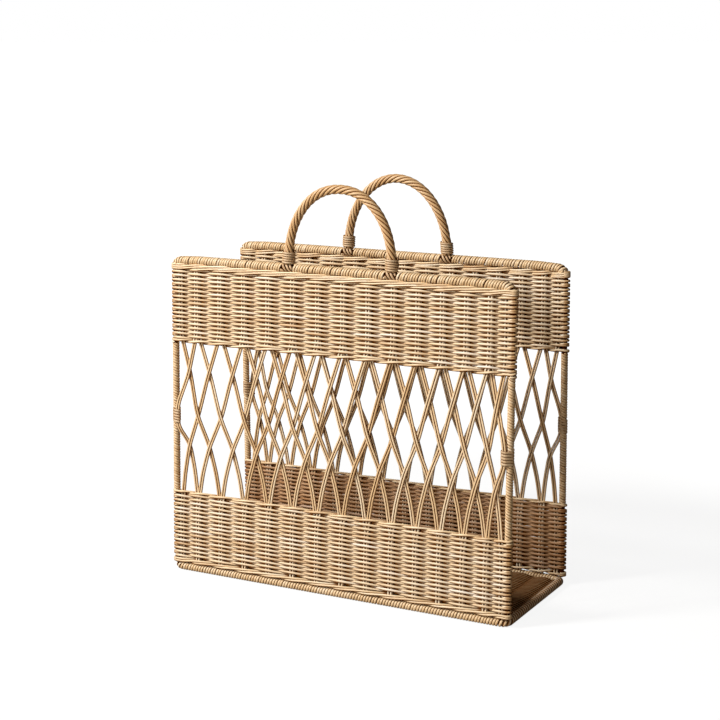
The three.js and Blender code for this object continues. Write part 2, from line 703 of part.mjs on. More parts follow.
function handle(shift) {
  const path = bowPath(shift);
  let length = 0;
  const frames = planeRings(path, [new THREE.Vector2(1, 0)], OUT);
  const rings = path.map((point, i) => {
    if (i > 0) length += point.distanceTo(path[i - 1]);
    const swell = THREE.MathUtils.smoothstep(point.z, COLLAR_TOP, COLLAR_TOP + ROPE_SWELL);
    const radius = THREE.MathUtils.lerp(ROPE_NECK_RADIUS, ROPE_RADIUS, swell);
    const atFoot = i === 0 || i === path.length - 1;
    const side = frames[i][0].clone().sub(point);
    if (atFoot) side.set(Math.sign(side.x), 0, 0);
    return ropeSection(radius, (-2 * Math.PI * length) / ROPE_LAY).map((p) =>
      point.clone().addScaledVector(side, p.x).addScaledVector(OUT, p.y),
    );
  });
  return loft(rings, ropeSection(1, 0));
}

// Draws the posts in towards the rail, with all that stands between them.
function drawIn(geometry) {
  const position = geometry.getAttribute("position");
  for (let i = 0; i < position.count; i++) {
    const share = (POST_DRAW_IN / HALF_WIDTH) * (position.getZ(i) / PANEL_HEIGHT);
    position.setX(i, position.getX(i) * (1 - share));
  }
  return geometry;
}

// One panel in its own frame. `mirror` is -1 for the back one, which is turned half round.
function panel(where, mirror) {
  const group = new THREE.Group();
  const add = (name, geometry, material) =>
    addMesh(group, `${where}_${name}`, drawIn(geometry), material);
  const sideName = (side) => (side * mirror < 0 ? "left" : "right");
  const shift = mirror * HANDLE_SHIFT[where];
  const feet = { [-1]: shift - BOW_HALF_SPAN, [1]: shift + BOW_HALF_SPAN };

  add("hoop", hoop(), CANE);
  add("foot_twine", postTwine(FOOT, FOOT + FOOT_TWINE), TWINE);
  const lowerTwine = LOWER_BAND_TOP - LOWER_TWINE;
  const [lowest, highest] = [FOOT + FOOT_TWINE + CLEARANCE, lowerTwine - CLEARANCE];
  add("lower_band", band(lowest, highest, LOW_GATHER, mirror), WEAVE);
  add("lower_twine", postTwine(lowerTwine, LOWER_BAND_TOP), TWINE);
  const upperTwine = LATTICE_TOP + UPPER_TWINE;
  add("upper_twine", postTwine(LATTICE_TOP, upperTwine), TWINE);
  add("upper_band", band(upperTwine + CLEARANCE, BAND_TOP, TOP_GATHER, mirror), WEAVE);
  add("rail_twine", railTwine(), TWINE);
  add("lattice", lattice(mirror), LATTICE);
  add("rail_wrap_middle", railMiddleWrap(feet[-1], feet[1]), WRAPPING);
  add("handle", handle(shift), ROPE);
  for (const side of [-1, 1]) {
    const word = sideName(side);
    add(`${word}_post_wrap`, postWrap(side), WRAPPING);
    const binding = `${word}_post_binding`;
    add(binding, postBinding(`${where}_${binding}`, side), REED);
    add(`rail_wrap_${word}`, railEndWrap(side, feet[side]), WRAPPING);
    const lashed = `handle_${word}_lashing`;
    add(lashed, lashing(`${where}_${lashed}`, feet[side]), REED);
    const bound = `handle_${word}_collar`;
    add(bound, collar(`${where}_${bound}`, side, shift), REED);
  }

  group.position.y = -HALF_DEPTH;
  group.rotation.x = -Math.atan(RAIL_DRAW_IN / PANEL_HEIGHT);
  const turned = new THREE.Group();
  turned.add(group);
  turned.rotation.z = mirror < 0 ? Math.PI : 0;
  return turned;
}

function base() {
  const group = new THREE.Group();
  addMesh(group, "base_ring", baseLoop(CANE_RADIUS), CANE);
  ["front", "right", "back", "left"].forEach((where, turn) =>
    addMesh(group, `base_wrap_${where}`, baseWrap(turn), WRAPPING),
  );
  addMesh(group, "floor_weave", floorWeave(), WEAVE);
  floorStakePlaces.forEach((x, i) =>
    addMesh(group, `floor_stake_${i + 1}`, floorStake(x), CANE),
  );
  return group;
}

const basket = new THREE.Group();
basket.add(base(), panel("front", 1), panel("back", -1));
basket.position.z = BASE_RADIUS;

export default basket;
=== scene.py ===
"""Looks of a woven magazine basket: reeds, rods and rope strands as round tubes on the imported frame."""
import math
from typing import Callable, NamedTuple

import bpy
import numpy as np
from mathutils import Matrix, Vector


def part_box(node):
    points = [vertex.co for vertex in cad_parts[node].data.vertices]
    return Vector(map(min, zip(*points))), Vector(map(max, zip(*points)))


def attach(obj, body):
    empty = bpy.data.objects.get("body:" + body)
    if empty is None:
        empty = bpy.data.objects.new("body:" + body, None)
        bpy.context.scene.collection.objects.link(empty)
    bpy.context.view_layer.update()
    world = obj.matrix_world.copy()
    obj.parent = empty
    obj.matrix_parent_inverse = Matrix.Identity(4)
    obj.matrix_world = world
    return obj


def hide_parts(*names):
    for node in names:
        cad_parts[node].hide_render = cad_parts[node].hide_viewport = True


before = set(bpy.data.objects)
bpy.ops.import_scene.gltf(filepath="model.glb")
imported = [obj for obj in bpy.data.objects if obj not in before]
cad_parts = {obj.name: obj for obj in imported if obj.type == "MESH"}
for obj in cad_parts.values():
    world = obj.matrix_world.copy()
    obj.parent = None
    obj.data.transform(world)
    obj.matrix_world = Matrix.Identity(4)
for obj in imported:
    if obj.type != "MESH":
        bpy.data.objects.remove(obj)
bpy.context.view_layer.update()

MM = 0.001  # lengths are in millimetres until a mesh is made
chance = np.random.default_rng(11)

# Sizes of reeds and rods
CANE = 2.7  # radius of the hoops and the base ring
REED = 2.3  # thickness of a weaver
REED_FLAT = 3.1  # its height where it lies flat over a stake
ROD = 2.55  # diameter of a lattice rod
PAIR_DEPTH = 1.425  # a column's two pairs stand this far before and behind its middle
WEAVE_SWING = 3.45  # from a band's middle to a weaver's middle
PRESS_LIFT = 1.25  # how far a pair moves out of plane at a crossing
TURN_RADIUS = {-1: 3.2, 1: 4.2}  # of a weaver's middle round a left and a right post
POST_DRAW_IN = 1.44  # a post leans in by this much from the base to the rail
HOOP_BEND = 9.5  # radius of a hoop's bends
BASE_BEND = 8  # radius of the base ring's corners
RAIL_SAG = 1.3  # the rail lies this much lower beside a post
SAG_REACH = 38  # and is level from this far on
BINDING_REED = 2.4
BINDING_TURNS = 5
BINDING_PITCH = 3.05

X_AXIS, Z_AXIS = 0, 2
OUTSIDE = np.array([0.0, -1.0, 0.0])  # away from the basket, in a panel's own frame
UP = np.array([0.0, 0.0, 1.0])


def box_mm(node):
    low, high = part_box(node)
    return np.array(low) / MM, np.array(high) / MM


# Places that follow from the frame
ring_low, ring_high = box_mm("base_ring")
rail_low, rail_high = box_mm("front_rail_wrap_middle")
rail_middle = (rail_low + rail_high) / 2
HALF_WIDTH = ring_high[0] - CANE
HALF_DEPTH = ring_high[1] - CANE
BASE_HEIGHT = (ring_low[2] + ring_high[2]) / 2
DRAW_IN = HALF_DEPTH + rail_middle[1]
RISE = rail_middle[2] - BASE_HEIGHT
PANEL_HEIGHT = math.hypot(DRAW_IN, RISE)
LEAN = math.atan2(DRAW_IN, RISE)
RAIL_RADIUS = (rail_high[2] - rail_low[2]) / 2

# Heights of a panel above the base ring's middle
FOOT = 4.8
FOOT_TOP = 10
LOWER_TWINE = 83.8
LOWER_TOP = 87.3
LATTICE_TOP = 253.7
UPPER_TWINE_TOP = 258.7
BAND_TOP = PANEL_HEIGHT - HOOP_BEND
RAIL_UNDERSIDE = PANEL_HEIGHT - RAIL_RADIUS - 0.3
STAKE_TOP = PANEL_HEIGHT - 5.9
TOP_GATHER = LATTICE_TOP + 12
LOW_GATHER = LOWER_TOP - 20
LATTICE_HEIGHT = LATTICE_TOP - LOWER_TOP
CROSSINGS = [LOWER_TOP + share * LATTICE_HEIGHT for share in (0.808, 0.532, 0.308)]
CURVE = LOWER_TOP + 0.13 * LATTICE_HEIGHT  # between the lowest crossing and the lower gather
CURVE_REACH = 0.555  # the share of the way aside that a pair has gone there
BINDING_MIDDLE = CROSSINGS[1] - 2.5

# Columns of stakes across a panel
LAST = 14
END_INSET = 6.6
END_BAY_SHARE = 0.725
BAY = 2 * (HALF_WIDTH - END_INSET) / (LAST - 2 + 2 * END_BAY_SHARE)
COLUMN_DRIFT = 10.3  # the middle columns stand up to this far to the basket's right
DRIFT_POWER = 1.5  # above 1, the most drifted column is right of the middle
BOUND_INSET, BOUND_DEPTH = 4.3, 4.57  # of the pair that is bound to a post's outer side


def rail_sag(x):
    """How much lower the rail lies near the posts, where it bends down to them."""
    return RAIL_SAG * (1 - smooth((HALF_WIDTH - np.abs(x)) / SAG_REACH))


class Columns:
    """Where a panel's stake columns stand; a half number is between two columns."""

    def __init__(self, mirror):
        self.mirror = mirror
        self.numbers = np.arange(LAST + 1)
        places = (self.numbers - LAST / 2) * BAY
        places[0], places[-1] = END_INSET - HALF_WIDTH, HALF_WIDTH - END_INSET
        places = places + COLUMN_DRIFT * np.sin(math.pi * (self.numbers / LAST) ** DRIFT_POWER)
        self.places = places if mirror > 0 else -places[::-1]

    def x(self, number):
        return np.interp(number, self.numbers, self.places)


# Node trees

NOISE_ROUGHNESS = 0.55


class Graph:
    """Adds nodes to a tree. An input is a plain value or another node's output."""

    def __init__(self, tree):
        self.tree = tree

    def fill(self, node, inputs):
        for key, value in inputs.items():
            if isinstance(value, bpy.types.NodeSocket):
                self.tree.links.new(value, node.inputs[key])
            else:
                node.inputs[key].default_value = value

    def node(self, kind, inputs=None, **settings):
        """Makes a shader node of a kind and gives its outputs."""
        made = self.tree.nodes.new("ShaderNode" + kind)
        for key, value in settings.items():
            setattr(made, key, value)
        self.fill(made, inputs or {})
        return made.outputs

    def math(self, operation, first, second):
        return self.node("Math", {0: first, 1: second}, operation=operation)[0]

    def noise(self, vector, stretch, detail):
        """Noise on the reed's own coordinates: millimetres along it, and round it."""
        scaled = self.node("VectorMath", {0: vector, 1: stretch}, operation="MULTIPLY")[0]
        settings = {"Vector": scaled, "Scale": 1, "Detail": detail, "Roughness": NOISE_ROUGHNESS}
        return self.node("TexNoise", settings)[0]

    def ramp(self, factor, stops):
        """A colour for a number, from stops of place and colour."""
        made = self.tree.nodes.new("ShaderNodeValToRGB")
        elements = made.color_ramp.elements
        while len(elements) < len(stops):
            elements.new(0.5)
        for element, (place, color) in zip(elements, stops):
            element.position = place
            element.color = color
        self.fill(made, {0: factor})
        return made.outputs[0]

    def between(self, factor, low, high, start=0.0, end=1.0):
        """A number from `low` to `high` as the factor goes from `start` to `end`."""
        ends = {"From Min": start, "From Max": end, "To Min": low, "To Max": high}
        return self.node("MapRange", {0: factor, **ends})[0]

    def multiply(self, first, second):
        """Two colours multiplied. The node's sockets for colours come after those for numbers."""
        inputs = {0: 1.0, 6: first, 7: second}
        return self.node("Mix", inputs, data_type="RGBA", blend_type="MULTIPLY")[2]

    def mix_shaders(self, factor, first, second):
        return self.node("MixShader", {0: factor, 1: first, 2: second})[0]


# Camera, stage and light

CAMERA_PLACE = (0.8197, -1.5549, 0.6017)  # in metres, like all places of the stage
LOOK_DOWN = math.radians(11.496)
LOOK_ASIDE = math.radians(28.049)
LENS = 83.09
SENSOR = 36
CLIP_END = 50
AIM = (0, 0, 0.2)  # of the lamps
WHITE = (1, 1, 1, 1)
SKY_COLOR, SKY_STRENGTH = (1.0, 0.86, 0.68, 1), 0.07
STAGE_REACH = 60
STAGE_COLOR = (0.25, 0.21, 0.16, 1)  # as the basket is lit by it
SEEN_COLOR = (0.15, 0.15, 0.15, 1)  # as the camera sees it, under a glow
SHADE_REACH = 0.5  # the glow is weak up to here, so that the basket's shadow shows
PLAIN_REACH = 1.0  # and strong from here on
WEAK_GLOW, STRONG_GLOW = 0.9, 1.05
LAMPS = {  # place, size, power and colour
    "key": ((-1.4, -1.6, 1.85), 0.5, 80, (1.0, 0.98, 0.95)),
    "front": ((-0.2, -2.4, 0.8), 0.9, 16, (1.0, 0.98, 0.95)),
    "fill": ((1.9, -1.6, 1.2), 1.6, 2, (1.0, 0.88, 0.72)),
}


def add_object(name, data):
    made = bpy.data.objects.new(name, data)
    bpy.context.scene.collection.objects.link(made)
    return made


def make_camera():
    data = bpy.data.cameras.new("camera")
    data.lens = LENS
    data.sensor_width = SENSOR
    data.clip_end = CLIP_END
    camera = add_object("camera", data)
    camera.location = CAMERA_PLACE
    camera.rotation_euler = (math.pi / 2 - LOOK_DOWN, 0, LOOK_ASIDE)
    bpy.context.scene.camera = camera


def add_lamp(name, place, size, power, color):
    data = bpy.data.lights.new(name, "AREA")
    data.shape = "DISK"
    data.size = size
    data.energy = power
    data.color = color
    lamp = add_object(name, data)
    lamp.location = place
    lamp.rotation_euler = (Vector(AIM) - Vector(place)).to_track_quat("-Z", "Y").to_euler()


def make_world():
    """White to the camera, a soft even sky to everything else."""
    world = bpy.data.worlds.new("studio")
    bpy.context.scene.world = world
    world.use_nodes = True
    world.node_tree.nodes.clear()
    graph = Graph(world.node_tree)
    path = graph.node("LightPath")
    seen = graph.math("MAXIMUM", path["Is Camera Ray"], path["Is Transmission Ray"])
    sky = graph.node("Background", {"Color": SKY_COLOR, "Strength": SKY_STRENGTH})[0]
    white = graph.node("Background", {"Color": WHITE})[0]
    graph.node("OutputWorld", {"Surface": graph.mix_shaders(seen, sky, white)})


def make_stage_floor():
    """A pale floor: white to the camera but for the basket's soft shadow."""
    mesh = bpy.data.meshes.new("floor")
    corners = [(x * STAGE_REACH, y * STAGE_REACH, 0) for x, y in ((-1, -1), (1, -1), (1, 1), (-1, 1))]
    mesh.from_pydata(corners, [], [(0, 1, 2, 3)])
    material = bpy.data.materials.new("floor")
    material.use_nodes = True
    material.node_tree.nodes.clear()
    graph = Graph(material.node_tree)
    place = graph.node("NewGeometry")["Position"]
    far = graph.node("VectorMath", {0: place}, operation="LENGTH")["Value"]
    strength = graph.between(far, WEAK_GLOW, STRONG_GLOW, SHADE_REACH, PLAIN_REACH)
    glow = graph.node("Emission", {"Color": WHITE, "Strength": strength})[0]
    faint = graph.node("BsdfDiffuse", {"Color": SEEN_COLOR})[0]
    seen = graph.node("AddShader", {0: faint, 1: glow})[0]
    plain = graph.node("BsdfDiffuse", {"Color": STAGE_COLOR})[0]
    camera_ray = graph.node("LightPath")["Is Camera Ray"]
    surface = graph.mix_shaders(camera_ray, plain, seen)
    graph.node("OutputMaterial", {"Surface": surface})
    mesh.materials.append(material)
    floor = add_object("floor", mesh)


bpy.context.scene.view_settings.view_transform = "Standard"
make_camera()
make_world()
make_stage_floor()
for lamp_name, lamp in LAMPS.items():
    add_lamp(lamp_name, *lamp)


# Materials


def linear(code):
    """A colour written as a hex code, as linear red, green, blue and alpha."""
    parts = [int(code[i : i + 2], 16) / 255 for i in (1, 3, 5)]
    return tuple(p / 12.92 if p <= 0.04045 else ((p + 0.055) / 1.055) ** 2.4 for p in parts) + (1,)


FIBRE_STRETCH = (0.10, 2.6, 2.6)  # of the noise along a reed and round it
PATCH_STRETCH = (0.03, 0.45, 0.45)
FIBRE_SHARE, PATCH_SHARE = 0.45, 0.7  # of the noises in a reed's tone
SMOOTHER, ROUGHER = 0.08, 0.12  # fibres change the roughness by this much
GLOSS = (0.55, -0.4)  # on the open skin and under the deepest painted shade, where below 0 is none
COAT = (0.22, -0.2)  # the same for the thin clear coat
COAT_ROUGHNESS = 0.3
FIBRE_STRENGTH, FIBRE_HEIGHT = 0.35, 0.12
# painted shade: what a shade of 0, 0.45 and 1 leaves of a reed's colour
PAINTED_SHADE_RAMP = [(0.0, WHITE), (0.45, (0.38, 0.165, 0.03, 1)), (1.0, (0.02, 0.01, 0.004, 1))]


def rattan(name, dark, middle, light, rough=0.5):
    """Peeled rattan: fibres along the reed, lighter and browner stretches, and painted shade, brown to
    near black, in the crevices.
    """
    material = bpy.data.materials.new(name)
    material.use_nodes = True
    graph = Graph(material.node_tree)
    grain = graph.node("Attribute", attribute_name="grain")["Vector"]
    tone = graph.node("Attribute", attribute_name="tone")["Fac"]
    shade = graph.node("Attribute", attribute_name="shade")["Fac"]
    fibres = graph.noise(grain, FIBRE_STRETCH, 4)
    patches = graph.noise(grain, PATCH_STRETCH, 2)
    mottle = graph.math("ADD", graph.math("MULTIPLY", patches, PATCH_SHARE), tone)
    value = graph.math("ADD", graph.math("MULTIPLY", fibres, FIBRE_SHARE), mottle)
    value = graph.math("SUBTRACT", value, (PATCH_SHARE + FIBRE_SHARE) / 2)
    color = graph.ramp(value, [(0.0, linear(dark)), (0.5, linear(middle)), (1.0, linear(light))])
    bump = {"Height": fibres, "Strength": FIBRE_STRENGTH, "Distance": FIBRE_HEIGHT * MM}
    looks = {
        # the shade attribute darkens the colour: painted shade
        "Base Color": graph.multiply(color, graph.ramp(shade, PAINTED_SHADE_RAMP)),
        "Roughness": graph.between(fibres, rough - SMOOTHER, rough + ROUGHER),
        # painted shade also takes away the gloss and the coat
        "Specular IOR Level": graph.between(shade, *GLOSS),
        "Coat Weight": graph.between(shade, *COAT),
        "Coat Roughness": COAT_ROUGHNESS,
        "Normal": graph.node("Bump", bump)[0],
    }
    graph.fill(material.node_tree.nodes["Principled BSDF"], looks)
    return material


MATERIALS = {
    "weave": rattan("weave", "#C99E6A", "#F1D8B2", "#FEF7EC"),
    "twine": rattan("twine", "#C49864", "#ECCFA4", "#FDF1DA"),
    "wrapping": rattan("wrapping", "#C99C65", "#EBCA9C", "#FBEBD2", 0.45),
    "lattice_rods": rattan("lattice_rods", "#CFA36C", "#F3D2A4", "#FEEFD4", 0.42),
    "rope": rattan("rope", "#B0824F", "#DAB07C", "#F0D8B2", 0.45),
    "binding_reed": rattan("binding_reed", "#AC855A", "#CFAD84", "#E6D2B2"),
    "cane": rattan("cane", "#8A5E34", "#AE7E4C", "#CBA06C"),
    # the floor's reeds take darker colours than the weave, as painted shade inside the basket
    "floor": rattan("floor_reed_painted_shade", "#8A7048", "#AC9068", "#C4AC86"),
}


# Reeds


def unit(vectors):
    return vectors / np.linalg.norm(vectors, axis=-1, keepdims=True)


def xyz(x, y, z):
    return np.stack([x, y, z], axis=1)


def smooth(share):
    """Eases from 0 to 1, flat at both ends."""
    share = np.clip(share, 0, 1)
    return share * share * (3 - 2 * share)


END_SHARE = 0.6  # of a reed's width in its last ring
END_REACH = 0.22  # of its thickness, from the line's end out to that ring
GRAIN_SHIFT = 137.0  # along the noise, from one reed of a mesh to the next


class Reeds:
    """Round reeds gathered in one mesh. Each is a tube along a line of points."""

    def __init__(self):
        self.points, self.quads, self.caps, self.strips = [], [], [], []
        self.grain, self.tone, self.shade = [], [], []
        self.count = 0
        self.length = 0.0

    def add(self, line, out, wide, thick=None, tone=0.5, shade=None, sides=8, closed=False):
        """Adds a reed. `out` points away from what it lies on, `thick` is measured that way."""
        out = np.broadcast_to(out, line.shape)
        wide = np.broadcast_to(wide, len(line))
        thick = wide if thick is None else np.broadcast_to(thick, len(line))
        tone = np.broadcast_to(tone, len(line))
        if closed:
            along = unit(np.roll(line, -1, 0) - np.roll(line, 1, 0))
        else:
            line, out, wide, thick, tone = self.round_ends(line, out, wide, thick, tone)
            along = unit(np.gradient(line, axis=0))
        side = unit(np.cross(along, out))
        up = np.cross(side, along)
        angle = 2 * math.pi * np.arange(sides) / sides
        across = side[:, None] * np.cos(angle)[None, :, None] * wide[:, None, None] / 2
        proud = up[:, None] * np.sin(angle)[None, :, None] * thick[:, None, None] / 2
        ring = line[:, None] + across + proud
        steps = np.linalg.norm(np.diff(line, axis=0), axis=1)
        distance = np.concatenate([[0], np.cumsum(steps)])
        self.points.append(ring.reshape(-1, 3))
        self.add_faces(len(line), sides, closed, distance, wide, thick)
        self.add_looks(distance, angle, tone, shade, line, ring)
        self.count += len(line) * sides
        return self

    @staticmethod
    def round_ends(line, out, wide, thick, tone):
        """One more small ring just past each end."""
        ends = []
        for end, near in ((0, 1), (-1, -2)):
            way = unit(line[end] - line[near])
            ends.append(line[end] + way * thick[end] * END_REACH)
        line = np.concatenate([[ends[0]], line, [ends[1]]])

        def pad(values, share=1.0):
            return np.concatenate([values[:1] * share, values, values[-1:] * share])

        return line, pad(out), pad(wide, END_SHARE), pad(thick, END_SHARE), pad(tone)

    def add_faces(self, count, sides, closed, distance, wide, thick):
        """Quads between the rings, a cap at each open end, and the sizes of the reed's skin."""
        rows = np.arange(count if closed else count - 1)
        here = (rows * sides)[:, None]
        there = (((rows + 1) % count) * sides)[:, None]
        a = np.arange(sides)[None]
        b = (a + 1) % sides
        quads = np.stack([here + a, there + a, there + b, here + b], axis=-1) + self.count
        self.quads.append(quads.reshape(-1, 4))
        start = self.length + distance[rows]
        if closed:
            step = np.append(np.diff(distance), distance[-1] / count)
        else:
            step = np.diff(distance)
        girth = math.pi * (wide[rows] + thick[rows]) / 2
        self.strips.append((start, step, girth, sides))
        self.length += distance[-1] + step[-1]
        if not closed:
            first = self.count + np.arange(sides)
            last = self.count + (count - 1) * sides + np.arange(sides)[::-1]
            self.caps += [first, last]

    def add_looks(self, distance, angle, tone, shade, line, ring):
        """The values that the materials read."""
        shift = GRAIN_SHIFT * len(self.points)
        grain = np.zeros(ring.shape)
        grain[:, :, 0] = distance[:, None] + shift
        grain[:, :, 1] = np.cos(angle)[None]
        grain[:, :, 2] = np.sin(angle)[None]
        self.grain.append(grain.reshape(-1, 3))
        self.tone.append(np.repeat(tone, len(angle)))
        dark = np.zeros(ring.shape[:2]) if shade is None else shade(line, ring)
        self.shade.append(dark.reshape(-1))


# A shade function says how much shade is painted on each point of a reed's rings, from 0 to 1


def rising(value, start, slope):
    """0 up to `start`, then easing up to 1."""
    return smooth((value - start) * slope)


def inward_face(line, ring):
    """1 on a weaver's side that looks into the basket, -1 on its outer side."""
    return (ring[:, :, 1] - line[:, None, 1]) / (REED / 2)


def woven_shade(line, ring):
    """Painted shade on the sides of a weaver that face the middle of the band, and on its underside."""
    lift = line[:, None, 1] / WEAVE_SWING
    to_middle = -inward_face(line, ring) * lift
    under = (line[:, None, 2] - ring[:, :, 2]) / (REED / 2)
    dark = 0.45 * rising(to_middle, 0.15, 2.2) + 0.55 * rising(to_middle, 0.72, 5)
    return np.maximum(dark, 0.8 * rising(under, 0.2, 1.4))


def dim_woven_shade(line, ring):
    """The same, and painted shade, browner, all over the face that looks into the basket."""
    return np.maximum(woven_shade(line, ring), 0.32 * rising(inward_face(line, ring), -0.6, 1))


def groove_shade(ring, crest, slope):
    """Dark on a reed's sides and below, and clear above the height `crest`."""
    height = np.sin(2 * math.pi * np.arange(ring.shape[1]) / ring.shape[1])
    return np.broadcast_to(0.9 * rising(-height, -crest, slope), ring.shape[:2])


def deep_shade(_, ring):
    """Painted shade in the deep grooves between reeds that lie side by side."""
    return groove_shade(ring, 0.6, 1.35)


def steep_shade(_, ring):
    """Dark but for a reed's crest, where reeds are only ever seen from along the row."""
    return groove_shade(ring, 0.98, 1.7)


def hidden_shade(_, ring):
    """Painted shade all round, on what only shows between the turns of a wrapping."""
    return np.full(ring.shape[:2], 0.75)


SKIN_SPARE = 1.08  # keeps the rows of skins apart
STEP_SHARE = 0.999  # keeps a skin's steps apart
SIDE_TRIES = 4  # a larger square takes fewer rows, so its side is found in a few tries
CAP_SPOT = 0.999  # the caps of the ends share one spot in the square's corner


def atlas(reeds):
    """Lays the reeds' skins in rows on a square, as a map for textures."""
    girth = max(strip[2].max() for strip in reeds.strips) * SKIN_SPARE
    step = max(strip[1].max() for strip in reeds.strips)
    side = math.sqrt(reeds.length * girth) + step
    for _ in range(SIDE_TRIES):
        rows = math.ceil(reeds.length / (side - step))
        side = max(rows * girth, side)
    usable = side - step
    result = []
    for start, step_length, wrap, sides in reeds.strips:
        row = np.floor(start / usable)
        left = (start - row * usable)[:, None]
        right = left + step_length[:, None] * STEP_SHARE
        low = (row * girth)[:, None] + wrap[:, None] * np.arange(sides)[None] / sides
        high = (row * girth)[:, None] + wrap[:, None] * (np.arange(sides)[None] + 1) / sides
        left, right = np.broadcast_to(left, low.shape), np.broadcast_to(right, low.shape)
        corners = [(left, low), (right, low), (right, high), (left, high)]
        result.append(np.stack([np.stack(corner, -1) for corner in corners], 2).reshape(-1, 2))
    return np.concatenate(result) / side


def build(name, reeds, slot, replaced, place, look=None):
    """Makes the mesh, in metres, and lets it stand for the replaced CAD nodes."""
    points = place(np.concatenate(reeds.points)) * MM
    quads = np.concatenate(reeds.quads)
    corners = np.concatenate([quads.reshape(-1)] + reeds.caps).astype(np.int32)
    sizes = np.array([4] * len(quads) + [len(cap) for cap in reeds.caps], np.int32)
    starts = np.concatenate([[0], np.cumsum(sizes)[:-1]]).astype(np.int32)
    mesh = bpy.data.meshes.new(name)
    mesh.vertices.add(len(points))
    mesh.vertices.foreach_set("co", points.astype(np.float32).ravel())
    mesh.loops.add(len(corners))
    mesh.loops.foreach_set("vertex_index", corners)
    mesh.polygons.add(len(sizes))
    mesh.polygons.foreach_set("loop_start", starts)
    mesh.update(calc_edges=True)
    mesh.polygons.foreach_set("use_smooth", np.arange(len(sizes)) < len(quads))
    layer = mesh.attributes.new("grain", "FLOAT_VECTOR", "POINT")
    layer.data.foreach_set("vector", np.concatenate(reeds.grain).astype(np.float32).ravel())
    for key, values in (("tone", reeds.tone), ("shade", reeds.shade)):
        layer = mesh.attributes.new(key, "FLOAT", "POINT")
        layer.data.foreach_set("value", np.concatenate(values).astype(np.float32))
    flat = np.full((len(corners), 2), CAP_SPOT, np.float32)
    flat[: quads.size] = atlas(reeds)
    mesh.uv_layers.new(name="OFBake").data.foreach_set("uv", flat.ravel())
    mesh.materials.append(MATERIALS[look or slot])
    piece = add_object(name, mesh)
    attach(piece, "root")
    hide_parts(*replaced)


def panel_place(mirror):
    """From a panel's own frame to the basket's: posts draw in, the panel leans, the back one turns.

    In its own frame a panel is upright, x along it, y into the basket and z up from the base ring.
    """

    def place(points):
        x = points[:, 0] * (1 - POST_DRAW_IN / HALF_WIDTH * points[:, 2] / PANEL_HEIGHT)
        y = points[:, 1] * math.cos(LEAN) + points[:, 2] * math.sin(LEAN) - HALF_DEPTH
        z = -points[:, 1] * math.sin(LEAN) + points[:, 2] * math.cos(LEAN) + BASE_HEIGHT
        return xyz(x * mirror, y * mirror, z)

    return place


def base_place(points):
    return points + np.array([0, 0, BASE_HEIGHT])


def drift(count, size, every):
    """A smooth random wander of `count` values, with a new target every so many."""
    knots = math.ceil(count / every) + 2
    targets = chance.normal(0, size, knots)
    where = np.arange(count) / every
    low = np.floor(where).astype(int)
    return targets[low] + (targets[low + 1] - targets[low]) * smooth(where - low)


# Woven bands

SAMPLES = 10  # along a bay
ROW_NUMBERS = np.linspace(0, LAST, LAST * SAMPLES + 1)  # the columns' numbers, along a row
ROW_WANDER = 0.13  # a row goes up and down by about this much
TURN_SAMPLES = 12  # round half a post
EASE_BAYS = 0.8  # a row eases into the turns at its ends over this many bays
FAR_DROP = 1.5  # a weaver lies this much lower on the far side, and covers the slits
LOWER_FAR_DROP = 2.0  # the same in the lower band
FAR_FLAT = 3.6  # a weaver's height on the far side
BETWEEN = 2.5  # and between two columns
ROW_PRESS = 0.03  # rows press on each other by this much
EXTRA_RISE = 1.3  # half the height of a turn and a half round a post
PLAIN_RISE = 0.9  # half the height of a half turn
TURN_WIDE = REED * 1.1
POST_PAINTED_SHADE, POST_THINNER = 0.5, 0.4  # how a weaver's tone and thickness change round a post: it is darker there as painted shade, and thinner
FOOT_GAP, TWINE_GAP = 0.3, 0.1  # from the lower band to the twines below and above it
UPPER_BAND_LOWER = 0.6  # the upper band's reeds start and end this far below its heights


def row_line(row, low, pitch, ends, columns):
    """One passage between the posts, in front of every second column; ends are its end heights."""
    way = 1 if row % 2 == 0 else -1
    numbers = np.concatenate([[0], ROW_NUMBERS, [LAST]])
    x = columns.x(numbers)
    x[0], x[-1] = -HALF_WIDTH, HALF_WIDTH
    y = -WEAVE_SWING * np.cos(math.pi * (numbers + row))
    z = low + row * pitch + drift(len(x), ROW_WANDER, SAMPLES)
    flat = np.where(columns.mirror * y < 0, REED_FLAT, FAR_FLAT)
    wide = BETWEEN + (flat - BETWEEN) * (y / WEAVE_SWING) ** 2
    if way < 0:
        x, y, wide = x[::-1], y[::-1], wide[::-1]
    reach = SAMPLES * EASE_BAYS
    steps = np.arange(len(x))
    z = z + (ends[0] - z[0]) * (1 - smooth(steps / reach))
    z = z + (ends[1] - z[-1]) * smooth((steps - len(x) + 1 + reach) / reach)
    out = np.zeros((len(x), 3))
    out[:, 1] = np.sign(y[0])
    return xyz(x, y, z), out, wide


def turn_line(row, middle, rise, turns, mirror):
    """Round the outside of a post, from a row's end to the next row's start."""
    side = 1 if row % 2 == 0 else -1
    start = -math.cos(math.pi * row)
    count = int(TURN_SAMPLES * (2 * turns)) + 1
    angle = np.linspace(0, 2 * math.pi * turns, count)[1:-1]
    x = side * (HALF_WIDTH + TURN_RADIUS[side * mirror] * np.sin(angle))
    y = start * WEAVE_SWING * np.cos(angle)
    z = middle - rise + 2 * rise * angle / angle[-1]
    out = xyz(side * np.sin(angle), start * np.cos(angle), 0 * angle)
    return xyz(x, y, z), out, np.full(len(x), TURN_WIDE)


